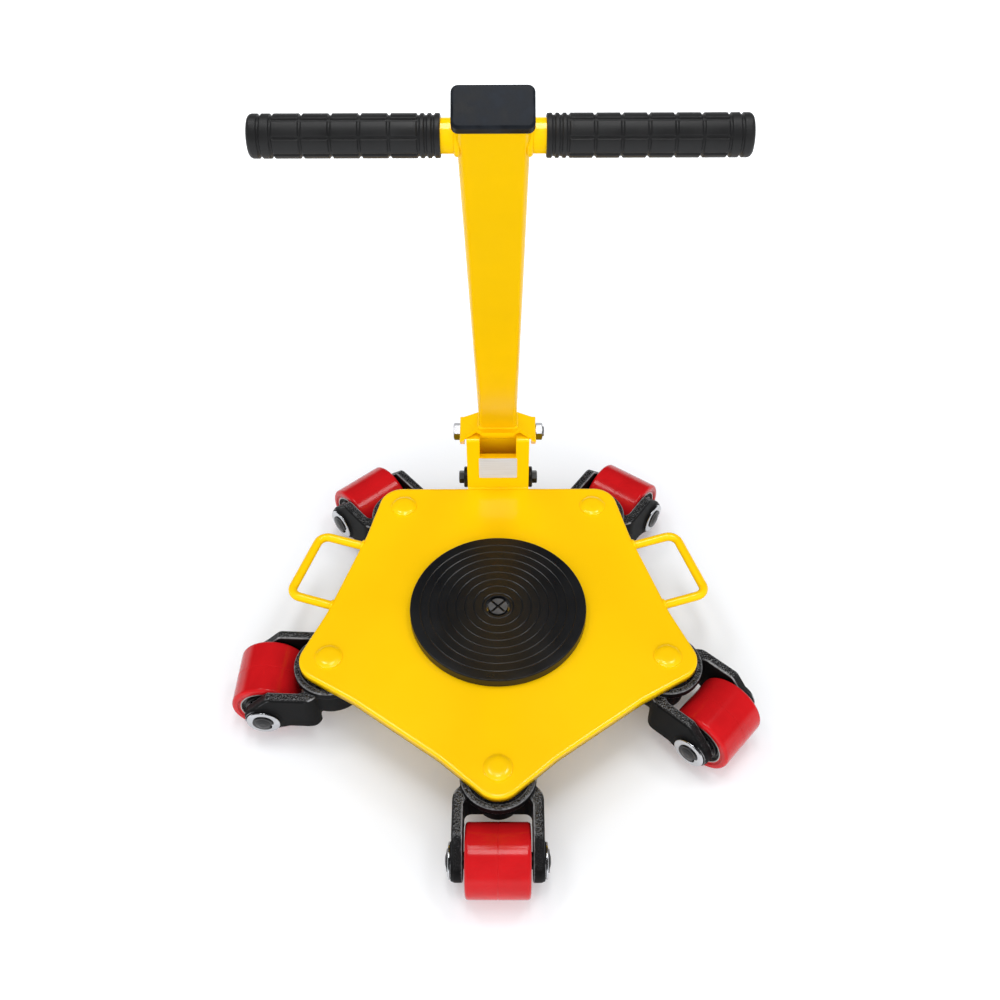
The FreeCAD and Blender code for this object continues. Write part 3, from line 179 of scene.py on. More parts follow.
class SkateSizes(bpy.types.PropertyGroup):
    casting_voxel: length("Casting voxel", "Grain of the remeshed fork casting", 0.0012)
    casting_soften: whole_number("Casting soften", "Passes that round a casting's edges", 4)
    edge_round: length("Edge round", "Rounding of the painted plate edges", 0.0012)
    deck_roll: length("Deck roll", "How far in from the rim the deck's top edge falls away", 0.0044)
    tread_round: length("Tread round", "Rounding of a tread's edges", 0.0040)
    tread_lip: length("Tread lip", "Step between a tread's side and the hub", 0.0018)
    seam_width: length("Seam width", "Width of a tread's middle mould line", 0.0012)
    seam_depth: length("Seam depth", "Depth of a tread's middle mould line", 0.00030)
    head_side: length("Head side", "Upright rim of a kingpin head", 0.0020)
    head_brim: length("Head brim", "Width of the flat round a kingpin's dome", 0.0010)
    washer_radius: length("Washer radius", "Axle washer", 0.0215)
    washer_thickness: length("Washer thickness", "Axle washer", 0.0030)
    washer_round: length("Washer round", "Outer edge of an axle washer", 0.0011)
    clip_radius: length("Clip radius", "Outside of an axle's retaining ring", 0.0136)
    clip_thickness: length("Clip thickness", "Retaining ring", 0.0016)
    axle_radius: length("Axle radius", "Wheel axle", 0.0100)
    axle_dome: length("Axle dome", "Rise of the axle's domed end", 0.0016)
    ring_pitch: length("Ring pitch", "Distance between a grip's rings beside the post", 0.0049)
    end_pitch: length("End pitch", "Distance between the rings at a grip's closed end", 0.0083)
    groove_width: length("Groove width", "Grooves between the blocks of a grip", 0.0019)
    groove_depth: length("Groove depth", "Grooves between the blocks of a grip", 0.0013)
    grip_round: length("Grip round", "Rounding of a grip's closed end", 0.0035)
    bead_ripple: length("Weld ripple", "Length of one ripple of a weld bead", 0.0032)
    post_bead: length("Post bead", "Radius of the weld round the post's foot", 0.0026)
    bar_bead: length("Bar bead", "Radius of the welds round the handle bars", 0.0022)
    hitch_bead: length("Hitch bead", "Radius of the weld before the hitch bracket", 0.0018)
    handle_bead: length("Handle bead", "Radius of the welds at the carry handles", 0.0024)
    post_corner: length("Post corner", "Corner of the weld round the post's foot", 0.0040)
    bolt_round: length("Bolt round", "Rounding of the hinge bolt's end", 0.0010)
    pad_round: length("Pad round", "Outer edge of the load pad", 0.0016)
    pad_groove: length("Pad groove", "Depth of the load pad's V grooves", 0.00040)
    cross_width: length("Cross width", "Slots in the pivot screw's head", 0.0032)
    cross_depth: length("Cross depth", "Slots in the pivot screw's head", 0.0008)
    hub_rim: length("Hub rim", "Width of the bright rim of a wheel's core", 0.0018)
    hub_recess: length("Hub recess", "Depth of the hollow round a wheel's bearing", 0.0050)
    hub_boss: length("Hub boss", "Wall round a wheel's bearing", 0.0026)
    plate_width: length("Plate width", "Label plate", 0.0530)
    plate_height: length("Plate height", "Label plate", 0.0390)
    plate_thickness: length("Plate thickness", "Label plate", 0.0010)
    plate_rise: length("Plate rise", "From the deck's top to the plate's lower edge", 0.0230)
    blocks_round: whole_number("Blocks", "Blocks round a grip", 7, least=3)
    left_rows: whole_number("Left rows", "Rows of blocks on the left grip", 5)
    right_rows: whole_number("Right rows", "Rows of blocks on the right grip", 6)


class SkateStage(bpy.types.PropertyGroup):
    camera_place: spot("Camera", "Where the camera stands", (0.0050, -0.8947, 1.3509))
    camera_aim: spot("Aim", "Point in the middle of the picture", (0.00265, 0.1941, 0.1120))
    camera_roll: FloatProperty(name="Roll", description="Turn of the camera about its own axis",
                               subtype="ANGLE", default=math.radians(-0.233))
    camera_lens: FloatProperty(name="Lens", description="Focal length in millimetres on a 36 mm sensor",
                               default=42.067, min=1.0)
    top_power: amount("Top lamp", "Softbox over the skate, in watts", 11.0)
    side_power: amount("Side lamps", "Softboxes at both sides of it, in watts", 7.6)
    room_light: amount("Room light", "Strength of the soft light from the front", 2.27)
    ceiling: amount("Ceiling", "Brightness of the ceiling in reflections", 0.04)
    near_glow: amount("Near glow", "Whiteness added to the floor by the skate, as seen", 0.19)
    # Painted shadow: glow taken off the floor under the deck
    contact_shade: amount("Contact shade", "How much of the near glow is taken away under the deck", 0.13)
    far_glow: amount("Far glow", "Whiteness added to the floor far away, as seen", 0.65)


# Node trees and finishes

def add(tree, kind, inputs=None, **settings):
    """A node whose inputs are sockets to link or values to set."""
    node = tree.nodes.new(kind)
    for key, item in settings.items():
        setattr(node, key, item)
    for key, item in (inputs or {}).items():
        if isinstance(item, bpy.types.NodeSocket):
            tree.links.new(item, node.inputs[key])
        else:
            node.inputs[key].default_value = item
    return node


def calc(tree, operation, *values):
    """A math node's result."""
    return add(tree, "ShaderNodeMath", dict(enumerate(values)), operation=operation).outputs[0]


def new_material(name, specular=0.3, metallic=0.0):
    """A material with its shader, whose even values are set, and the place on the piece."""
    material = bpy.data.materials.new(name)
    material.use_nodes = True
    tree = material.node_tree
    shader = tree.nodes["Principled BSDF"]
    shader.inputs["Specular IOR Level"].default_value = specular
    shader.inputs["Metallic"].default_value = metallic
    place = add(tree, "ShaderNodeTexCoord").outputs["Object"]
    return material, tree, shader, place


def noise(tree, place, per_metre, detail=3.0, roughness=0.55):
    """Cloudy spots, so many per metre."""
    return add(tree, "ShaderNodeTexNoise", {"Vector": place, "Scale": per_metre, "Detail": detail,
                                            "Roughness": roughness}).outputs["Fac"]


def drawn_lines(tree, place, per_metre):
    """Noise with its own number of spots per metre along each axis."""
    drawn = add(tree, "ShaderNodeMapping", {"Vector": place, "Scale": per_metre}).outputs["Vector"]
    return noise(tree, drawn, 1.0, detail=2.0)


def between(tree, fac, low, high, span=NOISE_SPAN, **settings):
    """A number that runs from low to high while fac runs over a span."""
    return add(tree, "ShaderNodeMapRange", {"Value": fac, "From Min": span[0], "From Max": span[1],
                                            "To Min": low, "To Max": high}, **settings).outputs["Result"]


def shades(tree, fac, base, dark, light):
    """The base colour, darkened or lightened by shares with fac."""
    ramp = add(tree, "ShaderNodeValToRGB", {"Fac": fac})
    for stop, at, share in zip(ramp.color_ramp.elements, NOISE_SPAN, (dark, light)):
        stop.position = at
        stop.color = [min(1.0, part * share) for part in base] + [1.0]
    return ramp.outputs["Color"]


def bumped(tree, height, depth, strength):
    """A normal that leans with a height."""
    return add(tree, "ShaderNodeBump", {"Height": height, "Distance": depth,
                                        "Strength": strength}).outputs["Normal"]


def facing_up(tree):
    """How far a face looks up: the upright part of its normal."""
    normal = add(tree, "ShaderNodeNewGeometry").outputs["Normal"]
    return add(tree, "ShaderNodeSeparateXYZ", {"Vector": normal}).outputs["Z"]


def dress(tree, shader, base, roughness, normal):
    """Link a surface's colour, roughness and relief to its shader."""
    for name, socket in (("Base Color", base), ("Roughness", roughness), ("Normal", normal)):
        tree.links.new(socket, shader.inputs[name])


def plain_finish(name, base, patch, grain, roughness, bump, shade=(0.9, 1.08), **even):
    """Patchy colour and gloss, and a fine grain: patch and grain are spots per metre, bump a depth."""
    material, tree, shader, place = new_material(name, **even)
    clouds = noise(tree, place, patch)
    fine = noise(tree, place, grain, detail=2.0)
    dress(tree, shader, shades(tree, clouds, base, *shade), between(tree, clouds, *roughness),
          bumped(tree, fine, bump, strength=0.5))
    return material


def paint_finish(name, base):
    """Gloss paint with a faint orange-peel skin and a warm mirror, duller on upright and lower faces."""
    material = plain_finish(name, base, patch=9.0, grain=420.0, roughness=(0.14, 0.20), bump=0.00002,
                            shade=(0.98, 1.02))
    tree = material.node_tree
    shader = tree.nodes["Principled BSDF"]
    gloss = between(tree, facing_up(tree), low=0.05, high=0.54, span=(0.50, 0.86))
    tree.links.new(gloss, shader.inputs["Specular IOR Level"])
    shader.inputs["Specular Tint"].default_value = WARM_MIRROR
    return material


def tread_finish(name, base):
    """Polished polyurethane with fine turning lines round the wheel, which follow the piece's map."""
    material, tree, shader, place = new_material(name, specular=0.22)
    mapped = add(tree, "ShaderNodeUVMap", uv_map=TURNED_MAP).outputs["UV"]
    lines = drawn_lines(tree, mapped, (4.0, 900.0, 1.0))
    clouds = noise(tree, place, 30.0)
    dress(tree, shader, shades(tree, clouds, base, dark=0.92, light=1.07),
          between(tree, lines, low=0.10, high=0.19), bumped(tree, lines, depth=0.000004, strength=0.5))
    return material


def casting_finish(name, base, top_glint, rubbed):
    """Black hammered paint: pebbled where it faces up, with painted glints there, dull on sides, and edges lighter
    from wear and a painted highlight.
    """
    material, tree, shader, place = new_material(name)
    level = between(tree, facing_up(tree), low=0.0, high=1.0, span=(0.6, 0.9))
    cells = add(tree, "ShaderNodeTexVoronoi", {"Vector": place, "Scale": 430.0}, feature="SMOOTH_F1")
    clouds = noise(tree, place, 45.0)
    edge = add(tree, "ShaderNodeAttribute", attribute_name=EDGE_LAYER).outputs["Fac"]
    # Lighter edges: part wear, part a painted highlight of the rounded edges
    edge_wear_and_highlight = calc(tree, "MULTIPLY", edge, between(tree, noise(tree, place, 160.0), low=0.35, high=1.0))
    # Light flecks only on faces that look up: painted glints of the pebbled paint
    top_glints = between(tree, noise(tree, place, 800.0, detail=1.0), low=0.0, high=level, span=(0.5, 0.66))
    paint = shades(tree, clouds, base, dark=0.8, light=1.3)
    for share, tone in ((top_glints, top_glint), (edge_wear_and_highlight, rubbed)):
        paint = add(tree, "ShaderNodeMix", {"Factor": share, "A": paint, "B": (*tone, 1.0)},
                    data_type="RGBA").outputs["Result"]
    gloss = calc(tree, "MAXIMUM", level, edge)
    pebbles = calc(tree, "MULTIPLY", level, calc(tree, "SUBTRACT", 1.0, edge))
    dress(tree, shader, paint, between(tree, gloss, low=0.62, high=0.27, span=(0.0, 1.0)),
          bumped(tree, cells.outputs["Distance"], depth=0.0009, strength=pebbles))
    mirror = between(tree, gloss, low=0.12, high=0.45, span=(0.0, 1.0))
    tree.links.new(mirror, shader.inputs["Specular IOR Level"])
    return material


def metal_finish(name, base, roughness):
    """Plated or ground metal with fine cloudy gloss."""
    return plain_finish(name, base, patch=60.0, grain=900.0, roughness=roughness, bump=0.00003,
                        shade=(0.86, 1.06), metallic=1.0, specular=0.5)


def brushed_finish(name, base):
    """Aluminium sheet brushed along X."""
    material, tree, shader, place = new_material(name, metallic=0.12)
    lines = drawn_lines(tree, place, (30.0, 2500.0, 2500.0))
    dress(tree, shader, shades(tree, lines, base, dark=0.88, light=1.08),
          between(tree, lines, low=0.34, high=0.48), bumped(tree, lines, depth=0.00003, strength=0.4))
    return material


# Each finish: its maker, the colours that it takes and its settings
FINISHES = {
    "yellow_paint": (paint_finish, ["yellow"], {}),
    "red_tread": (tread_finish, ["red"], {}),
    "cast_black": (casting_finish, ["casting", "casting_fleck", "casting_edge"], {}),
    "black_steel": (plain_finish, ["black_steel"], {
        "patch": 70.0, "grain": 900.0, "roughness": (0.30, 0.42), "bump": 0.00004, "shade": (0.8, 1.3),
        "specular": 0.45}),
    "black_rubber": (plain_finish, ["rubber"], {
        "patch": 18.0, "grain": 1100.0, "roughness": (0.27, 0.35), "bump": 0.00006, "shade": (0.8, 1.25),
        "specular": 0.42}),
    "grip_rubber": (plain_finish, ["grip"], {
        "patch": 40.0, "grain": 1300.0, "roughness": (0.40, 0.52), "bump": 0.00006, "shade": (0.85, 1.2),
        "specular": 0.24}),
    "black_plastic": (plain_finish, ["cap"], {
        "patch": 75.0, "grain": 700.0, "roughness": (0.24, 0.50), "bump": 0.00006, "shade": (0.5, 2.2),
        "specular": 0.065}),
    "bolt_steel": (metal_finish, ["bolt"], {"roughness": (0.12, 0.20)}),
    "zinc_steel": (metal_finish, ["zinc"], {"roughness": (0.13, 0.24)}),
    "bearing_steel": (metal_finish, ["steel"], {"roughness": (0.22, 0.34)}),
    "bare_metal": (metal_finish, ["hub"], {"roughness": (0.3, 0.45)}),
    "screw_steel": (plain_finish, ["screw"], {
        "patch": 120.0, "grain": 900.0, "roughness": (0.4, 0.5), "bump": 0.00004, "shade": (0.8, 1.2)}),
    "white_plastic": (plain_finish, ["white"], {
        "patch": 20.0, "grain": 500.0, "roughness": (0.4, 0.5), "bump": 0.00003}),
    "label_plate": (brushed_finish, ["plate"], {}),
}


def finish(name):
    """The material of that finish, made when it is first asked for."""
    title = "finish_" + name
    maker, keys, settings = FINISHES[name]
    tones = [getattr(bpy.context.scene.skate_colours, key) for key in keys]
    return bpy.data.materials.get(title) or maker(title, *tones, **settings)


# Meshes and pieces

def new_object(name, data):
    """A new object in the scene."""
    piece = bpy.data.objects.new(name, data)
    bpy.context.scene.collection.objects.link(piece)
    return piece


def mesh_of(name, shape, bend=None):
    """Close a bmesh's seams, turn its faces outwards and make it a mesh, crisp past a bend."""
    bmesh.ops.remove_doubles(shape, verts=shape.verts, dist=MERGE_DISTANCE)
    bmesh.ops.recalc_face_normals(shape, faces=shape.faces)
    mesh = bpy.data.meshes.new(name)
    shape.to_mesh(mesh)
    shape.free()
    mesh.shade_smooth()
    if bend is not None:
        mesh.set_sharp_from_angle(angle=bend)
    return mesh


def evaluated_mesh(name, piece):
    """The mesh that an object's modifiers make; the object itself is removed."""
    graph = bpy.context.evaluated_depsgraph_get()
    mesh = bpy.data.meshes.new_from_object(piece.evaluated_get(graph))
    mesh.name = name
    bpy.data.objects.remove(piece)
    return mesh


def add_piece(name, mesh, body, slot, *nodes, material=None):
    """Put a finished mesh on a body, in a finish, in place of CAD nodes."""
    mesh.materials.clear()
    mesh.materials.append(finish(material or slot))
    piece = new_object(name, mesh)
    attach(piece, body)
    if nodes:
        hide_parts(*nodes)


def shaped_piece(name, shape, bend, body, slot, *nodes, material=None):
    """Put a bmesh on a body, as a finished mesh."""
    add_piece(name, mesh_of(name, shape, bend), body, slot, *nodes, material=material)


def rounded(corners, steps=ROUND_STEPS, hold=0.0):
    """Points of an outline whose corners, (x, y) or (x, y, radius), are rounded by arcs.

    A hold adds a point on the straight at that distance from each arc's ends, which keeps the
    straight flat.
    """
    points = []
    count = len(corners)
    for i, corner in enumerate(corners):
        here = Vector(corner[:2])
        if len(corner) < 3:
            points.append(here)
            continue
        before = (Vector(corners[i - 1][:2]) - here).normalized()
        after = (Vector(corners[(i + 1) % count][:2]) - here).normalized()
        half = before.angle(after) / 2
        centre = here + (before + after).normalized() * (corner[2] / math.sin(half))
        start = here + before * (corner[2] / math.tan(half))
        turn = (start - centre).angle_signed(here + after * (corner[2] / math.tan(half)) - centre)
        if hold:
            points.append(start + before * hold)
        for step in range(steps + 1):
            spin = Matrix.Rotation(-turn * step / steps, 2)
            points.append(centre + spin @ (start - centre))
        if hold:
            points.append(here + after * (corner[2] / math.tan(half) + hold))
    return points


def rounded_box(half, low, high, corner, steps=ROUND_STEPS):
    """Outline of a box with round corners, from -half to half and from low to high."""
    return rounded([(-half, low, corner), (half, low, corner), (half, high, corner),
                    (-half, high, corner)], steps)


def raised_plate(shape, outline, place, thickness):
    """A flat plate of an outline in a place's own XY, raised along its Z."""
    face = shape.faces.new([shape.verts.new(place @ Vector((x, y, 0))) for x, y in outline])
    lifted = bmesh.ops.extrude_face_region(shape, geom=[face])["geom"]
    moved = [item for item in lifted if isinstance(item, bmesh.types.BMVert)]
    bmesh.ops.translate(shape, verts=moved, vec=place.to_3x3() @ Vector((0, 0, thickness)))


def axis_frame(centre, axis):
    """A place whose own Z runs along an axis from a centre."""
    return Matrix.Translation(centre) @ Vector(axis).to_track_quat("Z", "Y").to_matrix().to_4x4()


def lathe(shape, profile, place, sides=LATHE_SIDES, turn=math.tau):
    """Turn a closed profile of (radius, height) about a place's Z, with a map of turn and height."""
    whole = abs(turn - math.tau) < MERGE_DISTANCE
    steps = sides if whole else max(3, round(sides * turn / math.tau))
    layer = shape.loops.layers.uv.get(TURNED_MAP) or shape.loops.layers.uv.new(TURNED_MAP)
    columns = []
    for step in range(steps + (0 if whole else 1)):
        turned = place @ Matrix.Rotation(turn * step / steps, 4, "Z")
        columns.append([shape.verts.new(turned @ Vector((radius, 0, height)))
                        for radius, height in profile])
    count = len(profile)
    for step in range(steps):
        this, after = columns[step], columns[(step + 1) % len(columns)]
        for i in range(count):
            j = (i + 1) % count
            if profile[i][0] < MERGE_DISTANCE and profile[j][0] < MERGE_DISTANCE:
                continue
            corners = ((this, step, i), (after, step + 1, i), (after, step + 1, j), (this, step, j))
            face = shape.faces.new([column[k] for column, _, k in corners])
            for loop, (_, at, k) in zip(face.loops, corners):
                loop[layer].uv = (at / steps, profile[k][1])
    if not whole:
        for column in (columns[0], columns[-1]):
            shape.faces.new(column)


def hex_prism(shape, place, flats, low, high, bore=0.0, chamfers=(False, True)):
    """A hexagon head or nut along a place's Z, with turned chamfers at its low and high faces."""
    inner = flats / 2 * CHAMFER_SHARE
    columns = []
    for step in range(6 * HEX_STEPS):
        angle = math.tau * step / (6 * HEX_STEPS)
        across = flats / 2 / math.cos((angle + math.pi / 6) % (math.pi / 3) - math.pi / 6)
        drop = max(0.0, across - inner) * CHAMFER_SLOPE
        (low_face, low_drop), (high_face, high_drop) = (
            (inner, drop) if cut else (across, 0.0) for cut in chamfers)
        spots = ((bore, low), (low_face, low), (across, low + low_drop), (across, high - high_drop),
                 (high_face, high), (bore, high))
        x, y = math.cos(angle), math.sin(angle)
        columns.append([shape.verts.new(place @ Vector((radius * x, radius * y, along)))
                        for radius, along in spots])
    rings = list(zip(*columns))
    joined = list(zip(rings, rings[1:])) + ([(rings[-1], rings[0])] if bore else [])
    for ring, above in joined:
        for i in range(len(ring)):
            j = (i + 1) % len(ring)
            shape.faces.new((ring[i], ring[j], above[j], above[i]))


def copy_of(node):
    """A node's mesh as a closed bmesh of its own."""
    shape = bmesh.new()
    shape.from_mesh(frame["nodes"][node].data)
    bmesh.ops.remove_doubles(shape, verts=shape.verts, dist=MERGE_DISTANCE)
    return shape


def joint_line(name):
    """A joint's place and the direction of its axis."""
    return Vector(JOINTS[name]["pos_m"]), Vector(JOINTS[name]["axis"]).normalized()


def points_of(node):
    """The places of a node's vertices."""
    return [vertex.co for vertex in frame["nodes"][node].data.vertices]


def measured(node, centre, axis):
    """A node's least and greatest reach along an axis from a centre, and distance from the axis."""
    points = [point - centre for point in points_of(node)]
    along = [point.dot(axis) for point in points]
    away = [(point - axis * point.dot(axis)).length for point in points]
    return min(along), max(along), min(away), max(away)


def caster_frame(caster):
    """A caster's own place: its kingpin axis on Z, its wheel towards +X."""
    pin, _ = joint_line(caster + "_swivel")
    wheel, _ = joint_line(caster + "_roll")
    trail = wheel - pin
    return Matrix.Translation((pin.x, pin.y, 0)) @ Matrix.Rotation(math.atan2(trail.y, trail.x), 4, "Z")


# Node groups for what repeats or follows a path

def new_group(name, inputs):
    """A geometry tree and its named inputs, which are given as (name, kind, default)."""
    tree = bpy.data.node_groups.new(name, "GeometryNodeTree")
    tree.interface.new_socket("Geometry", in_out="INPUT", socket_type="NodeSocketGeometry")
    for label, kind, default in inputs:
        socket = tree.interface.new_socket(label, in_out="INPUT", socket_type="NodeSocket" + kind)
        if default is not None:
            socket.default_value = default
    tree.interface.new_socket("Geometry", in_out="OUTPUT", socket_type="NodeSocketGeometry")
    return tree, tree.nodes.new("NodeGroupInput").outputs


def close_group(tree, geometry, material):
    """End a tree in real geometry in one material."""
    real = add(tree, "GeometryNodeRealizeInstances", {"Geometry": geometry}).outputs["Geometry"]
    painted = add(tree, "GeometryNodeSetMaterial", {"Geometry": real, "Material": material})
    add(tree, "NodeGroupOutput", {0: painted.outputs["Geometry"]})


def run_group(name, tree, data, **values):
    """The mesh that a tree makes from an object's data and named inputs."""
    piece = new_object(name, data)
    modifier = piece.modifiers.new(tree.name, "NODES")
    modifier.node_group = tree
    for socket in tree.interface.items_tree:
        if socket.in_out == "INPUT" and socket.name in values:
            modifier[socket.identifier] = values[socket.name]
    return evaluated_mesh(name, piece)


def pin_circle_tree():
    """One piece repeated at every kingpin round the deck."""
    tree, given = new_group("Around the pin circle", [("Pins", "Int", 5), ("Radius", "Float", 0.2),
                                                      ("Material", "Material", None)])
    circle = add(tree, "GeometryNodeMeshCircle", {"Vertices": given["Pins"], "Radius": given["Radius"]})
    turned = add(tree, "GeometryNodeTransform", {"Geometry": circle.outputs["Mesh"],
                                                 "Rotation": (0, 0, -math.pi / 2)}).outputs["Geometry"]
    copies = add(tree, "GeometryNodeInstanceOnPoints", {"Points": turned, "Instance": given["Geometry"]})
    close_group(tree, copies.outputs["Instances"], given["Material"])
    return tree


def weld_tree():
    """A rippled bead along a path."""
    tree, given = new_group("Weld bead", [("Radius", "Float", 0.002), ("Ripple", "Float", 0.003),
                                          ("Material", "Material", None)])
    step = calc(tree, "DIVIDE", given["Ripple"], RIPPLE_STEPS)
    path = add(tree, "GeometryNodeResampleCurve", {"Curve": given["Geometry"], "Length": step},
               mode="LENGTH")
    along = add(tree, "GeometryNodeSplineParameter").outputs["Length"]
    phase = calc(tree, "FRACT", calc(tree, "DIVIDE", along, given["Ripple"]))
    arch = calc(tree, "SINE", calc(tree, "MULTIPLY", phase, math.pi))
    swell = calc(tree, "MULTIPLY_ADD", arch, *BEAD_SWELL)
    ripple = add(tree, "GeometryNodeSetCurveRadius", {"Curve": path.outputs["Curve"], "Radius": swell})
    ring = add(tree, "GeometryNodeCurvePrimitiveCircle", {"Resolution": BEAD_SIDES,
                                                          "Radius": given["Radius"]})
    sweep = {"Curve": ripple.outputs["Curve"], "Profile Curve": ring.outputs["Curve"], "Fill Caps": True}
    bead = add(tree, "GeometryNodeCurveToMesh", sweep)
    if "Scale" in bead.inputs:
        tree.links.new(swell, bead.inputs["Scale"])
    soft = add(tree, "GeometryNodeSetShadeSmooth", {"Geometry": bead.outputs["Mesh"]})
    close_group(tree, soft.outputs["Geometry"], given["Material"])
    return tree


def grip_tree():
    """A ribbed rubber grip along Z: rings at both ends and rows of blocks between them."""
    tree, given = new_group("Grip", [
        ("Radius", "Float", 0.016), ("Length", "Float", 0.13), ("End Round", "Float", 0.003),
        ("Ring Pitch", "Float", 0.004), ("Inner Rings", "Int", 3), ("End Pitch", "Float", 0.009),
        ("Outer Rings", "Int", 2), ("Rows", "Int", 5), ("Blocks", "Int", 7), ("Block Turn", "Float", 0.0),
        ("Groove Width", "Float", 0.0016), ("Groove Depth", "Float", 0.0012),
        ("Material", "Material", None)])
    work = partial(calc, tree)
    tube = add(tree, "GeometryNodeMeshCylinder", {
        "Vertices": GRIP_SIDES, "Side Segments": GRIP_RINGS, "Radius": given["Radius"],
        "Depth": given["Length"]}, fill_type="NGON")
    place = add(tree, "GeometryNodeInputPosition").outputs["Position"]
    axes = add(tree, "ShaderNodeSeparateXYZ", {"Vector": place}).outputs
    from_start = work("MULTIPLY_ADD", given["Length"], 0.5, axes["Z"])
    from_end = work("SUBTRACT", given["Length"], from_start)
    angle = work("ARCTAN2", axes["Y"], axes["X"])

    def beyond(at, low, high):
        """How far a place is outside a stretch; negative inside it."""
        middle = work("MULTIPLY", work("ADD", low, high), 0.5)
        half = work("MULTIPLY", work("SUBTRACT", high, low), 0.5)
        return work("SUBTRACT", work("ABSOLUTE", work("SUBTRACT", at, middle)), half)

    def off_line(at, half):
        """Distance from the nearest of endless lines that lie two halves apart."""
        return work("ABSOLUTE", work("WRAP", at, half, work("MULTIPLY", half, -1.0)))

    def nearest(at, pitch, count):
        """Distance from the nearest of some evenly spaced grooves, the first one pitch along."""
        half = work("MULTIPLY", pitch, 0.5)
        last = work("MULTIPLY", pitch, work("ADD", count, 0.5))
        return work("MAXIMUM", off_line(at, half), beyond(at, half, last))

    def end_drop(distance, size):
        """How far an end's rounding draws the surface in."""
        short = work("MAXIMUM", work("SUBTRACT", size, distance), 0.0)
        side = work("SUBTRACT", work("MULTIPLY", size, size), work("MULTIPLY", short, short))
        return work("SUBTRACT", size, work("SQRT", side))

    inner_zone = work("MULTIPLY", given["Ring Pitch"], given["Inner Rings"])
    outer_zone = work("MULTIPLY", given["End Pitch"], given["Outer Rings"])
    blocks_zone = work("SUBTRACT", work("SUBTRACT", given["Length"], inner_zone), outer_zone)
    row_pitch = work("DIVIDE", blocks_zone, given["Rows"])
    along_rows = work("SUBTRACT", from_start, inner_zone)
    half_block = work("MULTIPLY", work("DIVIDE", math.tau, given["Blocks"]), 0.5)
    across = off_line(work("ADD", angle, given["Block Turn"]), half_block)
    across = work("MULTIPLY", across, given["Radius"])
    gap = work("MAXIMUM", across, beyond(along_rows, 0.0, blocks_zone))
    for zone in ((from_start, given["Ring Pitch"], given["Inner Rings"]),
                 (from_end, given["End Pitch"], given["Outer Rings"]),
                 (along_rows, row_pitch, given["Rows"])):
        gap = work("MINIMUM", gap, nearest(*zone))
    wall = [work("MULTIPLY", given["Groove Width"], share) for share in GROOVE_WALL]
    sunk = between(tree, gap, given["Groove Depth"], 0.0, wall, interpolation_type="SMOOTHSTEP")
    drop = work("ADD", sunk, end_drop(from_end, given["End Round"]))
    drop = work("ADD", drop, end_drop(from_start, work("MULTIPLY", given["End Round"], GRIP_ROOT)))
    share = work("SUBTRACT", 1.0, work("DIVIDE", drop, given["Radius"]))
    moved = add(tree, "ShaderNodeCombineXYZ", {"X": work("MULTIPLY", axes["X"], share),
                                               "Y": work("MULTIPLY", axes["Y"], share), "Z": from_start})
    shaped = add(tree, "GeometryNodeSetPosition", {"Geometry": tube.outputs["Mesh"],
                                                   "Position": moved.outputs["Vector"]})
    close_group(tree, shaped.outputs["Geometry"], given["Material"])
    return tree


def path_curve(name, points, closed):
    """A curve of straight runs through points."""
    curve = bpy.data.curves.new(name, "CURVE")
    curve.dimensions = "3D"
    spline = curve.splines.new("POLY")
    spline.points.add(len(points) - 1)
    for stop, point in zip(spline.points, points):
        stop.co = (*point, 1.0)
    spline.use_cyclic_u = closed
    return curve


def round_path(centre, axis, radius):
    """Points of a circle about an axis."""
    place = axis_frame(centre, axis)
    angles = [math.tau * i / RING_POINTS for i in range(RING_POINTS)]
    return [place @ Vector((radius * math.cos(angle), radius * math.sin(angle), 0)) for angle in angles]


# Operators, one for each group of like pieces

class SKATE_OT_finish_nodes(bpy.types.Operator):
    """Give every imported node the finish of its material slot"""
    bl_idname = "skate.finish_nodes"
    bl_label = "Finish Nodes"

    def execute(self, context):
        for part in frame["record"]["subparts"]:
            node = frame["nodes"][part["node"]]
            material = finish(part["material_slot"])
            if not node.material_slots:
                node.data.materials.append(material)
            for slot in node.material_slots:
                slot.material = material
        return {"FINISHED"}


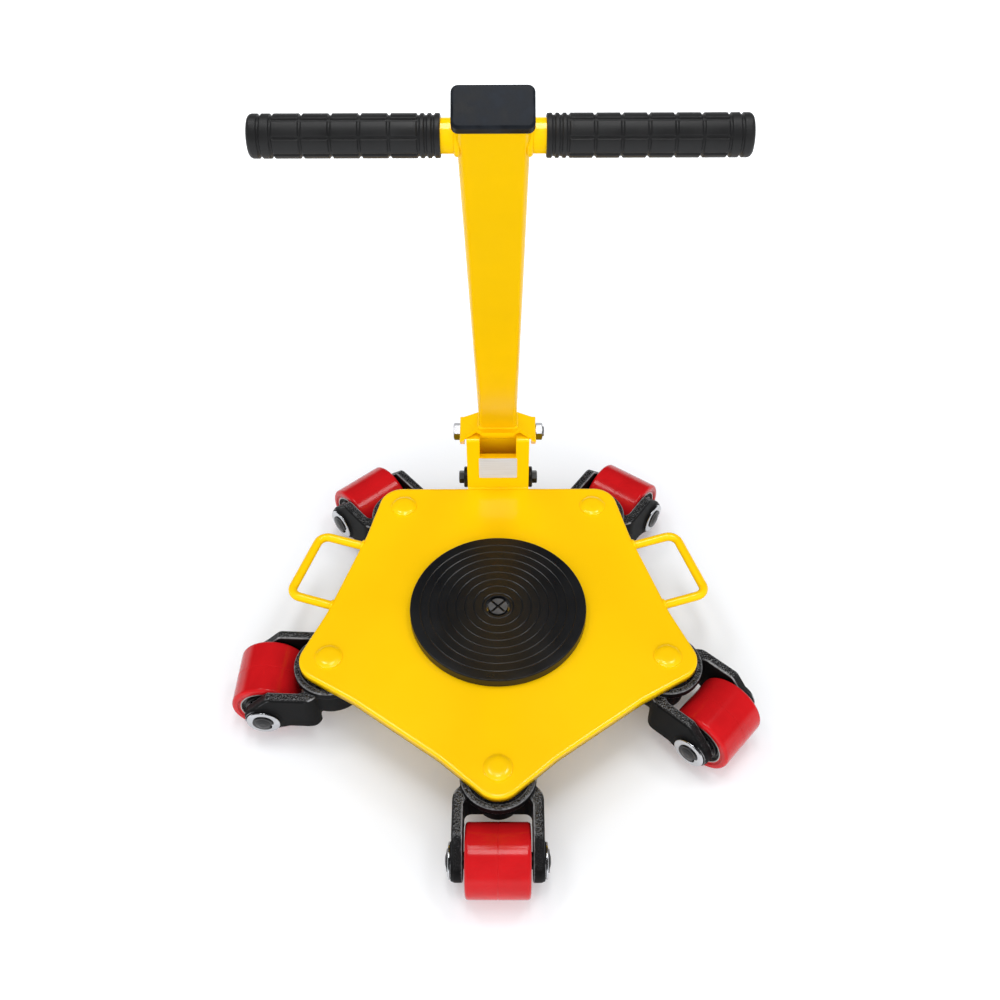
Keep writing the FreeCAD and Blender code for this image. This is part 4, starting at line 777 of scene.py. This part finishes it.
class SKATE_OT_castings(bpy.types.Operator):
    """Make the caster forks as castings with soft edges"""
    bl_idname = "skate.castings"
    bl_label = "Castings"

    def execute(self, context):
        pattern = copy_of(CASTERS[0] + "_fork")
        bmesh.ops.transform(pattern, verts=pattern.verts, matrix=caster_frame(CASTERS[0]).inverted())
        blank = new_object("casting_blank", mesh_of("casting_blank", pattern))
        remesh = blank.modifiers.new("Grain", "REMESH")
        remesh.mode = "VOXEL"
        remesh.voxel_size = context.scene.skate_sizes.casting_voxel
        soften = blank.modifiers.new("Soften", "SMOOTH")
        soften.iterations = context.scene.skate_sizes.casting_soften
        casting = evaluated_mesh("casting", blank)
        casting.shade_smooth()
        self.mark_edges(casting)
        for caster in CASTERS:
            mesh = casting.copy()
            mesh.transform(caster_frame(caster))
            add_piece(caster + "_casting", mesh, caster + "_caster", "cast_black", caster + "_fork")
        return {"FINISHED"}

    def mark_edges(self, mesh):
        """Store how sharply the casting bends outwards at each point, from none to one."""
        count = len(mesh.vertices)
        places, normals = (numpy.empty(3 * count, numpy.float32) for _ in range(2))
        mesh.vertices.foreach_get("co", places)
        mesh.vertices.foreach_get("normal", normals)
        ends = numpy.empty(2 * len(mesh.edges), numpy.int32)
        mesh.edges.foreach_get("vertices", ends)
        places, normals, ends = places.reshape(-1, 3), normals.reshape(-1, 3), ends.reshape(-1, 2)
        around = numpy.zeros_like(places)
        number = numpy.zeros((count, 1), numpy.float32)
        for one, other in (ends.T, ends.T[::-1]):
            numpy.add.at(around, one, places[other])
            numpy.add.at(number, one, 1.0)
        bend = ((places - around / number) * normals).sum(axis=1)
        share = numpy.clip((bend - EDGE_BEND[0]) / (EDGE_BEND[1] - EDGE_BEND[0]), 0.0, 1.0)
        layer = mesh.attributes.new(EDGE_LAYER, "FLOAT", "POINT")
        layer.data.foreach_set("value", share.astype(numpy.float32))


class SKATE_OT_wheels(bpy.types.Operator):
    """Turn the red treads, with round edges, side lips and a mould line, and their hollowed cores"""
    bl_idname = "skate.wheels"
    bl_label = "Wheels"

    def execute(self, context):
        for caster in CASTERS:
            self.turn_tread(caster, context.scene.skate_sizes)
            self.turn_hub(caster, context.scene.skate_sizes)
        return {"FINISHED"}

    def turn_hub(self, caster, sizes):
        """The core: a turned rim, and a web with a boss that holds the bearing, coloured black as painted shade in
        the hollow.
        """
        centre, axis = joint_line(caster + "_roll")
        node = caster + "_wheel_hub"
        low, high, _, radius = measured(node, centre, axis)
        seat = measured(caster + "_wheel_bearings", centre, axis)[3]
        half = (high - low) / 2
        web = half - sizes.hub_recess
        rim, boss = radius - sizes.hub_rim, seat + sizes.hub_boss
        edge = sizes.hub_rim / 3
        # The web takes black steel as painted shade in the hollow inside the rim
        for name, side, coat in (
                ("_hub_rim", [(rim, half, edge), (radius, half, edge)], "bare_metal"),
                ("_hub_web", [(seat, half), (boss, half, edge), (boss, web, edge), (rim, web)],
                 "black_steel")):
            outline = [(r, -z, *rest) for r, z, *rest in side] + side[::-1]
            shape = bmesh.new()
            lathe(shape, rounded(outline, steps=3), axis_frame(centre, axis))
            shaped_piece(caster + name, shape, TURNED_BEND, caster + "_wheel", "bare_metal", node,
                         material=coat)

    def turn_tread(self, caster, sizes):
        """The tread: a sunk mould line round its middle, round edges and a step down to the hub."""
        centre, axis = joint_line(caster + "_roll")
        node = caster + "_wheel_tread"
        low, high, _, radius = measured(node, centre, axis)
        radius -= FIT_EASE
        hub_radius = measured(caster + "_wheel_hub", centre, axis)[3]
        half, lip = (high - low) / 2, sizes.tread_lip
        lip_radius = hub_radius + lip
        seam, floor = sizes.seam_width / 2, radius - sizes.seam_depth
        side = [(radius, seam), (radius, half, sizes.tread_round), (lip_radius + lip, half, lip / 2),
                (lip_radius, half - lip, lip / 3), (hub_radius, half - lip)]
        outline = [(r, -z, *rest) for r, z, *rest in side[::-1]]
        outline += [(floor, -seam / 3), (floor, seam / 3)] + side
        shape = bmesh.new()
        lathe(shape, rounded(outline, hold=lip / 4), axis_frame(centre, axis), sides=TREAD_SIDES)
        shaped_piece(caster + "_tread", shape, TREAD_BEND, caster + "_wheel", "red_tread", node)


class SKATE_OT_axles(bpy.types.Operator):
    """Make each axle with its domed ends, washers, retaining rings and spacers"""
    bl_idname = "skate.axles"
    bl_label = "Axles"

    def execute(self, context):
        sizes = context.scene.skate_sizes
        radius, dome, edge = sizes.axle_radius, sizes.axle_dome, sizes.washer_round
        flat, curve = radius * AXLE_FLAT, radius * AXLE_CURVE
        reach, bore = radius * SPACER_REACH, radius * RING_BORE
        for caster in CASTERS:
            centre, axis = joint_line(caster + "_roll")
            body, hardware = caster + "_caster", caster + "_axle_hardware"
            low, high, _, _ = measured(caster + "_axle", centre, axis)
            end = (high - low) / 2
            clip_out = measured(hardware, centre, axis)[1]
            washer_out = clip_out - sizes.clip_thickness
            washer_in = washer_out - sizes.washer_thickness
            spacer_in = measured(caster + "_wheel_bearings", centre, axis)[1] + FIT_EASE
            pin, washers, clips = (bmesh.new() for _ in range(3))
            lathe(pin, rounded([(0, -end), (flat, -end, curve), (radius, -end + dome, dome / 2),
                                (radius, end - dome, dome / 2), (flat, end, curve), (0, end)]),
                  axis_frame(centre, axis))
            for side in (axis, -axis):
                place = axis_frame(centre, side)
                lathe(washers, rounded([(radius, washer_in), (sizes.washer_radius, washer_in, edge),
                                        (sizes.washer_radius, washer_out, edge),
                                        (radius + edge, washer_out)]), place)
                lathe(washers, [(radius, spacer_in), (reach, spacer_in), (reach, spacer_in + edge),
                                (radius, spacer_in + edge)], place)
                lathe(clips, rounded([(bore, washer_out), (sizes.clip_radius, washer_out),
                                      (sizes.clip_radius, clip_out, sizes.clip_thickness / 3),
                                      (bore, clip_out)], steps=3), place, turn=RING_TURN)
            shaped_piece(caster + "_axle_pin", pin, TURNED_BEND, body, "black_steel", caster + "_axle")
            shaped_piece(caster + "_axle_washers", washers, TURNED_BEND, body, "zinc_steel", hardware)
            shaped_piece(caster + "_axle_rings", clips, TURNED_BEND, body, "black_steel", hardware)
        return {"FINISHED"}


class SKATE_OT_kingpins(bpy.types.Operator):
    """Set a domed kingpin and its nut at every corner of the deck"""
    bl_idname = "skate.kingpins"
    bl_label = "Kingpins"

    def execute(self, context):
        sizes = context.scene.skate_sizes
        pins = [joint_line(caster + "_swivel")[0] for caster in CASTERS]
        low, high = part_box("kingpins")
        deck_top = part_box("deck_plate")[1].z
        head = high.x - max(abs(pin.x) for pin in pins)
        shank = head * SHANK_SHARE
        thread = shank * THREAD_SHARE
        brim = deck_top + sizes.head_side
        rise = high.z - brim
        bell = head - sizes.head_brim
        shares = [1 - step / DOME_STEPS for step in range(DOME_STEPS + 1)]
        dome = [(bell * share, high.z - rise * share ** DOME_POWER) for share in shares]
        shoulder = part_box(CASTERS[0] + "_fork")[0].z
        profile = rounded([(0, low.z), (thread, low.z), (thread, shoulder), (shank, shoulder),
                           (shank, deck_top), (head, deck_top),
                           (head, brim, sizes.head_brim * BRIM_ROUND)] + dome)
        pin, nut = bmesh.new(), bmesh.new()
        lathe(pin, profile, Matrix.Identity(4))
        nut_low, nut_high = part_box("kingpin_nuts")
        nut_flats = 2 * (nut_high.y - max(pin.y for pin in pins))
        hex_prism(nut, Matrix.Identity(4), nut_flats, nut_low.z, nut_high.z, thread, (True, True))
        tree = pin_circle_tree()
        for name, shape, slot in (("kingpins", pin, "yellow_paint"), ("kingpin_nuts", nut, "zinc_steel")):
            one = mesh_of("one_of_" + name, shape, TURNED_BEND)
            mesh = run_group(name + "_set", tree, one, Pins=len(CASTERS), Radius=pins[0].xy.length,
                             Material=finish(slot))
            add_piece(name + "_set", mesh, "chassis", slot, name)
        return {"FINISHED"}


class SKATE_OT_load_pad(bpy.types.Operator):
    """Mould the turning rubber pad with its shallow round grooves"""
    bl_idname = "skate.load_pad"
    bl_label = "Load Pad"

    def execute(self, context):
        sizes = context.scene.skate_sizes
        spots = [(point.xy.length, point.z) for point in points_of("load_pad")]
        top, bottom = max(z for _, z in spots), min(z for _, z in spots)

        def radii(level):
            """Distinct radii of the pad's points at a level, from the middle out."""
            found = []
            for radius in sorted(r for r, z in spots if abs(z - level) < MERGE_DISTANCE):
                if not found or radius - found[-1] > MERGE_DISTANCE:
                    found.append(radius)
            return found

        def lowest(radius):
            return min(z for r, z in spots if abs(r - radius) < MERGE_DISTANCE)

        hole, outside = min(r for r, _ in spots), max(r for r, _ in spots)
        grooves = radii(top)[1:-1]
        under, floor = lowest(hole), top - sizes.pad_groove
        step = radii(bottom)[0]
        corners = [(hole, under), (step, under), (step, bottom), (outside, bottom),
                   (outside, top, sizes.pad_round)]
        for inner, outer in reversed(list(zip(grooves[0::2], grooves[1::2]))):
            corners += [(outer, top), ((inner + outer) / 2, floor), (inner, top)]
        corners.append((hole, top, sizes.pad_round / 2))
        self.cross_screw(sizes)
        shape = bmesh.new()
        lathe(shape, rounded(corners, steps=8), Matrix.Identity(4), sides=PAD_SIDES)
        shaped_piece("load_pad_moulding", shape, PAD_BEND, "load_turntable", "black_rubber", "load_pad")
        return {"FINISHED"}

    def cross_screw(self, sizes):
        """Four raised quarters on the pivot screw's head, with a wide cross between them."""
        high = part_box("pad_screw")[1]
        radius, slot = high.x * SCREW_RIM, sizes.cross_width / 2
        first = math.asin(slot / radius)
        sweep = math.pi / 2 - 2 * first
        angles = [first + sweep * step / ROUND_STEPS for step in range(ROUND_STEPS + 1)]
        outline = [(slot, slot)]
        outline += [(radius * math.cos(angle), radius * math.sin(angle)) for angle in angles]
        shape = bmesh.new()
        for quarter in range(4):
            turn = Matrix.Rotation(math.pi / 2 * (quarter + 0.5), 4, "Z")
            raised_plate(shape, outline, Matrix.Translation((0, 0, high.z)) @ turn, sizes.cross_depth)
        shaped_piece("pad_screw_quarters", shape, SHEET_BEND, "chassis", "black_steel",
                     material="screw_steel")


class SKATE_OT_grips(bpy.types.Operator):
    """Mould the two ribbed hand grips"""
    bl_idname = "skate.grips"
    bl_label = "Grips"

    def execute(self, context):
        sizes = context.scene.skate_sizes
        tree = grip_tree()
        half_block = math.pi / sizes.blocks_round
        for side, toward, rows, turn in (("left", -ALONG_X, sizes.left_rows, half_block),
                                         ("right", ALONG_X, sizes.right_rows, 0.0)):
            node = side + "_grip"
            low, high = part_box(node)
            middle = (low + high) / 2
            start = Vector((high.x if toward.x < 0 else low.x, middle.y, middle.z))
            empty = bpy.data.meshes.new("grip_start")
            mesh = run_group(node + "_moulding", tree, empty, **{
                "Radius": (high.z - low.z) / 2, "Length": high.x - low.x, "End Round": sizes.grip_round,
                "Ring Pitch": sizes.ring_pitch, "End Pitch": sizes.end_pitch, "Rows": rows,
                "Blocks": sizes.blocks_round, "Block Turn": turn, "Groove Width": sizes.groove_width,
                "Groove Depth": sizes.groove_depth, "Material": finish("grip_rubber")})
            mesh.transform(axis_frame(start, toward))
            mesh.shade_smooth()
            mesh.set_sharp_from_angle(angle=GRIP_BEND)
            add_piece(node + "_moulding", mesh, "drawbar", "grip_rubber", node)
        return {"FINISHED"}


class SKATE_OT_welds(bpy.types.Operator):
    """Run weld beads where the painted steel pieces are joined"""
    bl_idname = "skate.welds"
    bl_label = "Welds"

    def execute(self, context):
        tree = weld_tree()
        sizes = context.scene.skate_sizes

        def bead(name, body, points, radius, closed=True):
            mesh = run_group(name, tree, path_curve(name, points, closed), Radius=radius,
                             Ripple=sizes.bead_ripple, Material=finish("yellow_paint"))
            add_piece(name, mesh, body, "yellow_paint")

        post_low, post_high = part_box("drawbar_post")
        yoke_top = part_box("drawbar_yoke")[1].z
        foot = [point.y for point in points_of("drawbar_post") if point.z < post_low.z + MERGE_DISTANCE]
        outline = rounded_box(post_high.x, min(foot), max(foot), sizes.post_corner)
        bead("post_foot_weld", "drawbar", [(*point, yoke_top) for point in outline], sizes.post_bead)
        for side, toward in (("left", -ALONG_X), ("right", ALONG_X)):
            low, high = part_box(side + "_handle_bar")
            middle = (low + high) / 2
            root = Vector((post_high.x * toward.x, middle.y, middle.z))
            bead(side + "_bar_weld", "drawbar", round_path(root, toward, (high.z - low.z) / 2),
                 sizes.bar_bead)
            self.weld_handle(side, bead, sizes.handle_bead)
        low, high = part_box("hitch_bracket")
        deck_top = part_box("deck_plate")[1].z
        bead("hitch_weld", "chassis", [(x, low.y, deck_top) for x in (low.x, high.x)], sizes.hitch_bead,
             closed=False)
        return {"FINISHED"}

    def weld_handle(self, side, bead, radius):
        """Beads round both ends of a carry handle, where it meets the deck."""
        points = points_of(side + "_carry_handle")
        middle = sum(points, Vector()) / len(points)
        outwards = Vector((middle.x, middle.y, 0)).normalized()
        inner = min(point.dot(outwards) for point in points)
        for end, toward in (("front", -1), ("rear", 1)):
            root = [point for point in points if point.dot(outwards) < inner + radius
                    and (point.y - middle.y) * toward > 0]
            low, high = (Vector(pick(axis) for axis in zip(*root)) for pick in (min, max))
            bead("%s_handle_%s_weld" % (side, end), "chassis",
                 round_path((low + high) / 2, outwards, (high.z - low.z) / 2), radius)


class SKATE_OT_plate_edges(bpy.types.Operator):
    """Ease the edges of the painted deck, hitch bracket and yoke"""
    bl_idname = "skate.plate_edges"
    bl_label = "Plate Edges"

    def execute(self, context):
        sizes = context.scene.skate_sizes
        self.finish_plate("deck_plate", "chassis", self.rolled_deck(sizes.deck_roll))
        for node, body in (("hitch_bracket", "chassis"), ("drawbar_yoke", "drawbar")):
            shape = copy_of(node)
            bmesh.ops.dissolve_limit(shape, angle_limit=SAME_PLANE, verts=shape.verts, edges=shape.edges)
            self.finish_plate(node, body, shape, sizes.edge_round)
        return {"FINISHED"}

    def rolled_deck(self, roll):
        """The deck with its top rounding stretched inwards, so that the rim falls away gently."""
        shape = copy_of("deck_plate")
        bottom, top = (corner.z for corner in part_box("deck_plate"))
        side_top = min(vertex.co.z for vertex in shape.verts if vertex.co.z > (bottom + top) / 2)
        rim = [vertex.co.copy() for vertex in shape.verts if vertex.co.z < side_top + MERGE_DISTANCE
               and vertex.co.z > (bottom + top) / 2]
        fillet = top - side_top
        tree = KDTree(len(rim))
        for i, point in enumerate(rim):
            tree.insert((point.x, point.y, 0), i)
        tree.balance()
        for vertex in shape.verts:
            outside, _, inset = tree.find((vertex.co.x, vertex.co.y, 0))
            if vertex.co.z > side_top + MERGE_DISTANCE and inset < fillet + MERGE_DISTANCE:
                vertex.co.xy = outside.xy + (vertex.co.xy - outside.xy) * (roll / fillet)
        flat = [face for face in shape.faces if abs(face.normal.z) > 1 - MERGE_DISTANCE]
        inner = {edge for face in flat for edge in face.edges
                 if all(other in flat for other in edge.link_faces)}
        bmesh.ops.dissolve_edges(shape, edges=list(inner), use_verts=False)
        return shape

    def finish_plate(self, node, body, shape, edge=0.0):
        """Bevel a plate's edges and keep its flat faces flat in the light."""
        blank = new_object(node + "_blank", mesh_of(node + "_blank", shape, PLATE_BEND))
        if edge:
            bevel = blank.modifiers.new("Edges", "BEVEL")
            bevel.width = edge
            bevel.segments = 3
            bevel.limit_method = "ANGLE"
            bevel.angle_limit = PLATE_BEND
        even = blank.modifiers.new("Normals", "WEIGHTED_NORMAL")
        even.weight = 100
        add_piece(node + "_eased", evaluated_mesh(node + "_eased", blank), body, "yellow_paint", node)


class SKATE_OT_bolts(bpy.types.Operator):
    """Make the hinge bolt, its nut and the hitch bolts with turned heads"""
    bl_idname = "skate.bolts"
    bl_label = "Bolts"

    def execute(self, context):
        hinge, _ = joint_line("drawbar_tilt")
        place = axis_frame(hinge, ALONG_X)
        bolt, nut, sleeve, heads = (bmesh.new() for _ in range(4))
        low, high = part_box("pivot_bolt")
        nut_low, nut_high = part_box("pivot_nut")
        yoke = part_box("drawbar_yoke")[1].x
        flats = min(high.y - low.y, high.z - low.z)
        shank = flats / 3
        hex_prism(bolt, place, flats, low.x, -yoke, 0.0, (True, False))
        lathe(bolt, rounded([(0, -yoke), (shank, -yoke),
                             (shank, high.x, context.scene.skate_sizes.bolt_round), (0, high.x)]), place)
        hex_prism(nut, place, flats, nut_low.x, nut_high.x, shank, (True, True))
        for name, shape, node in (("hinge_bolt", bolt, "pivot_bolt"), ("hinge_nut", nut, "pivot_nut")):
            shaped_piece(name, shape, HEXAGON_BEND, "drawbar", "zinc_steel", node, material="bolt_steel")
        start, end, bore, radius = measured("pivot_sleeve", hinge, ALONG_X)
        lathe(sleeve, [(bore, start), (radius, start), (radius, end), (bore, end)], place)
        shaped_piece("hinge_sleeve", sleeve, TURNED_BEND, "chassis", "yellow_paint", "pivot_sleeve")
        low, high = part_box("hitch_bolts")
        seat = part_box("hitch_washers")[1].x
        middle = (low + high) / 2
        flats = min(high.y - low.y, high.z - low.z)
        for toward in (ALONG_X, -ALONG_X):
            side = axis_frame(Vector((0, middle.y, middle.z)), toward)
            hex_prism(heads, side, flats, seat, high.x)
        shaped_piece("hitch_bolt_heads", heads, HEXAGON_BEND, "chassis", "black_steel", "hitch_bolts")
        return {"FINISHED"}


class SKATE_OT_label_plate(bpy.types.Operator):
    """Fix the bare label plate on the hitch bracket"""
    bl_idname = "skate.label_plate"
    bl_label = "Label Plate"

    def execute(self, context):
        sizes = context.scene.skate_sizes
        thickness = sizes.plate_thickness
        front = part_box("hitch_bracket")[0].y
        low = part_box("deck_plate")[1].z + sizes.plate_rise
        outline = rounded_box(sizes.plate_width / 2, 0, sizes.plate_height, thickness * LABEL_CORNER,
                              steps=4)
        upright = Matrix.Translation((0, front, low)) @ Matrix.Rotation(math.pi / 2, 4, "X")
        shape = bmesh.new()
        raised_plate(shape, outline, upright, thickness)
        blank = new_object("label_plate_blank", mesh_of("label_plate_blank", shape, SHEET_BEND))
        bevel = blank.modifiers.new("Edges", "BEVEL")
        bevel.width = thickness * LABEL_BEVEL
        bevel.segments = 2
        mesh = evaluated_mesh("label_plate", blank)
        add_piece("label_plate", mesh, "chassis", "bare_metal", material="label_plate")
        return {"FINISHED"}


class SKATE_OT_stage(bpy.types.Operator):
    """Set the floor, the lamps, the room and the camera"""
    bl_idname = "skate.stage"
    bl_label = "Stage"

    def execute(self, context):
        stage = context.scene.skate_stage
        self.lay_floor(stage)
        self.light_room(context.scene, stage)
        for name, place, size, power in SOFTBOXES:
            self.hang_lamp(name, (*place, LAMP_HEIGHT), size, getattr(stage, power))
        camera = new_object("photo_camera", bpy.data.cameras.new("photo_camera"))
        camera.data.lens = stage.camera_lens
        camera.data.sensor_width = SENSOR_MILLIMETRES
        camera.location = stage.camera_place
        aim = Vector(stage.camera_aim) - Vector(stage.camera_place)
        turn = aim.to_track_quat("-Z", "Y").to_matrix() @ Matrix.Rotation(stage.camera_roll, 3, "Z")
        camera.rotation_euler = turn.to_euler()
        context.scene.camera = camera
        context.scene.view_settings.view_transform = "Standard"
        return {"FINISHED"}

    def lay_floor(self, stage):
        """A wide pale floor, whiter as seen far from the skate and less so under it, where the cut glow is a
        painted shadow.
        """
        shape = bmesh.new()
        bmesh.ops.create_grid(shape, x_segments=1, y_segments=1, size=FLOOR_HALF)
        floor = new_object("floor", mesh_of("floor", shape))
        material = bpy.data.materials.new("pale_floor")
        material.use_nodes = True
        tree = material.node_tree
        tree.nodes.clear()
        lit = add(tree, "ShaderNodeBsdfDiffuse", {"Color": FLOOR_COLOUR}).outputs["BSDF"]
        place = add(tree, "ShaderNodeTexCoord").outputs["Object"]
        away = add(tree, "ShaderNodeVectorMath", {0: place}, operation="LENGTH").outputs["Value"]
        white = between(tree, away, stage.near_glow, stage.far_glow, FLOOR_FADE)
        # Painted shadow: the floor's glow is cut near the skate, under the deck
        shade = between(tree, away, stage.contact_shade, 0.0, CONTACT_REACH)
        white = calc(tree, "SUBTRACT", white, shade)
        glow = add(tree, "ShaderNodeEmission", {
            "Strength": calc(tree, "MULTIPLY", self.seen_directly(tree), white)})
        both = add(tree, "ShaderNodeAddShader", {0: lit, 1: glow.outputs["Emission"]}).outputs["Shader"]
        add(tree, "ShaderNodeOutputMaterial", {"Surface": both})
        floor.data.materials.append(material)

    def seen_directly(self, tree):
        """One for rays from the camera, mirrors and glass, zero for the rest."""
        rays = add(tree, "ShaderNodeLightPath").outputs
        return calc(tree, "MAXIMUM", rays["Is Camera Ray"],
                    calc(tree, "MAXIMUM", rays["Is Glossy Ray"], rays["Is Transmission Ray"]))

    def light_room(self, scene, stage):
        """White as seen, white walls under a dark ceiling in mirrors, and a soft light from the front."""
        world = bpy.data.worlds.new("studio")
        scene.world = world
        world.use_nodes = True
        tree = world.node_tree
        tree.nodes.clear()
        way = add(tree, "ShaderNodeTexCoord").outputs["Generated"]
        way = add(tree, "ShaderNodeSeparateXYZ", {"Vector": way}).outputs
        walls = between(tree, way["Z"], 1.0, stage.ceiling, WALL_FADE)
        walls = calc(tree, "MAXIMUM", walls, add(tree, "ShaderNodeLightPath").outputs["Is Camera Ray"])
        # The soft light is strongest from the front and fades to none from behind.
        lean = calc(tree, "POWER", calc(tree, "MULTIPLY_ADD", way["Y"], -0.5, 0.5), 2.0)
        soft = calc(tree, "MULTIPLY", lean, stage.room_light)
        strength = add(tree, "ShaderNodeMix", {"Factor": self.seen_directly(tree), "A": soft, "B": walls})
        light = add(tree, "ShaderNodeBackground", {"Color": (1.0, 1.0, 1.0, 1.0),
                                                   "Strength": strength.outputs["Result"]})
        add(tree, "ShaderNodeOutputWorld", {"Surface": light.outputs["Background"]})

    def hang_lamp(self, name, place, size, power):
        """A softbox, which looks straight down as long as it isn't turned."""
        lamp = bpy.data.lights.new(name, "AREA")
        lamp.shape = "RECTANGLE"
        lamp.size, lamp.size_y = size
        lamp.energy = power
        new_object(name, lamp).location = place


class SKATE_PT_panel(bpy.types.Panel):
    """The steps that dress the skate, in order"""
    bl_label = "Machine Skate"
    bl_idname = "SKATE_PT_panel"
    bl_space_type = "VIEW_3D"
    bl_region_type = "UI"
    bl_category = "Machine Skate"

    def draw(self, context):
        for step in STEPS:
            self.layout.operator(step.bl_idname)
        for group in (context.scene.skate_colours, context.scene.skate_sizes, context.scene.skate_stage):
            box = self.layout.box()
            for name in group.__annotations__:
                box.prop(group, name)


STEPS = (SKATE_OT_finish_nodes, SKATE_OT_castings, SKATE_OT_wheels, SKATE_OT_axles, SKATE_OT_kingpins,
         SKATE_OT_load_pad, SKATE_OT_grips, SKATE_OT_plate_edges, SKATE_OT_welds, SKATE_OT_bolts,
         SKATE_OT_label_plate, SKATE_OT_stage)
GROUPS = {"skate_colours": SkateColours, "skate_sizes": SkateSizes, "skate_stage": SkateStage}


def register():
    for group in GROUPS.values():
        bpy.utils.register_class(group)
    for name, group in GROUPS.items():
        setattr(bpy.types.Scene, name, PointerProperty(type=group))
    for step in STEPS:
        bpy.utils.register_class(step)
    bpy.utils.register_class(SKATE_PT_panel)


def unregister():
    bpy.utils.unregister_class(SKATE_PT_panel)
    for step in reversed(STEPS):
        bpy.utils.unregister_class(step)
    for name, group in GROUPS.items():
        delattr(bpy.types.Scene, name)
        bpy.utils.unregister_class(group)


def main():
    register()
    for step in STEPS:
        family, name = step.bl_idname.split(".")
        getattr(getattr(bpy.ops, family), name)()


if __name__ == "__main__":
    main()
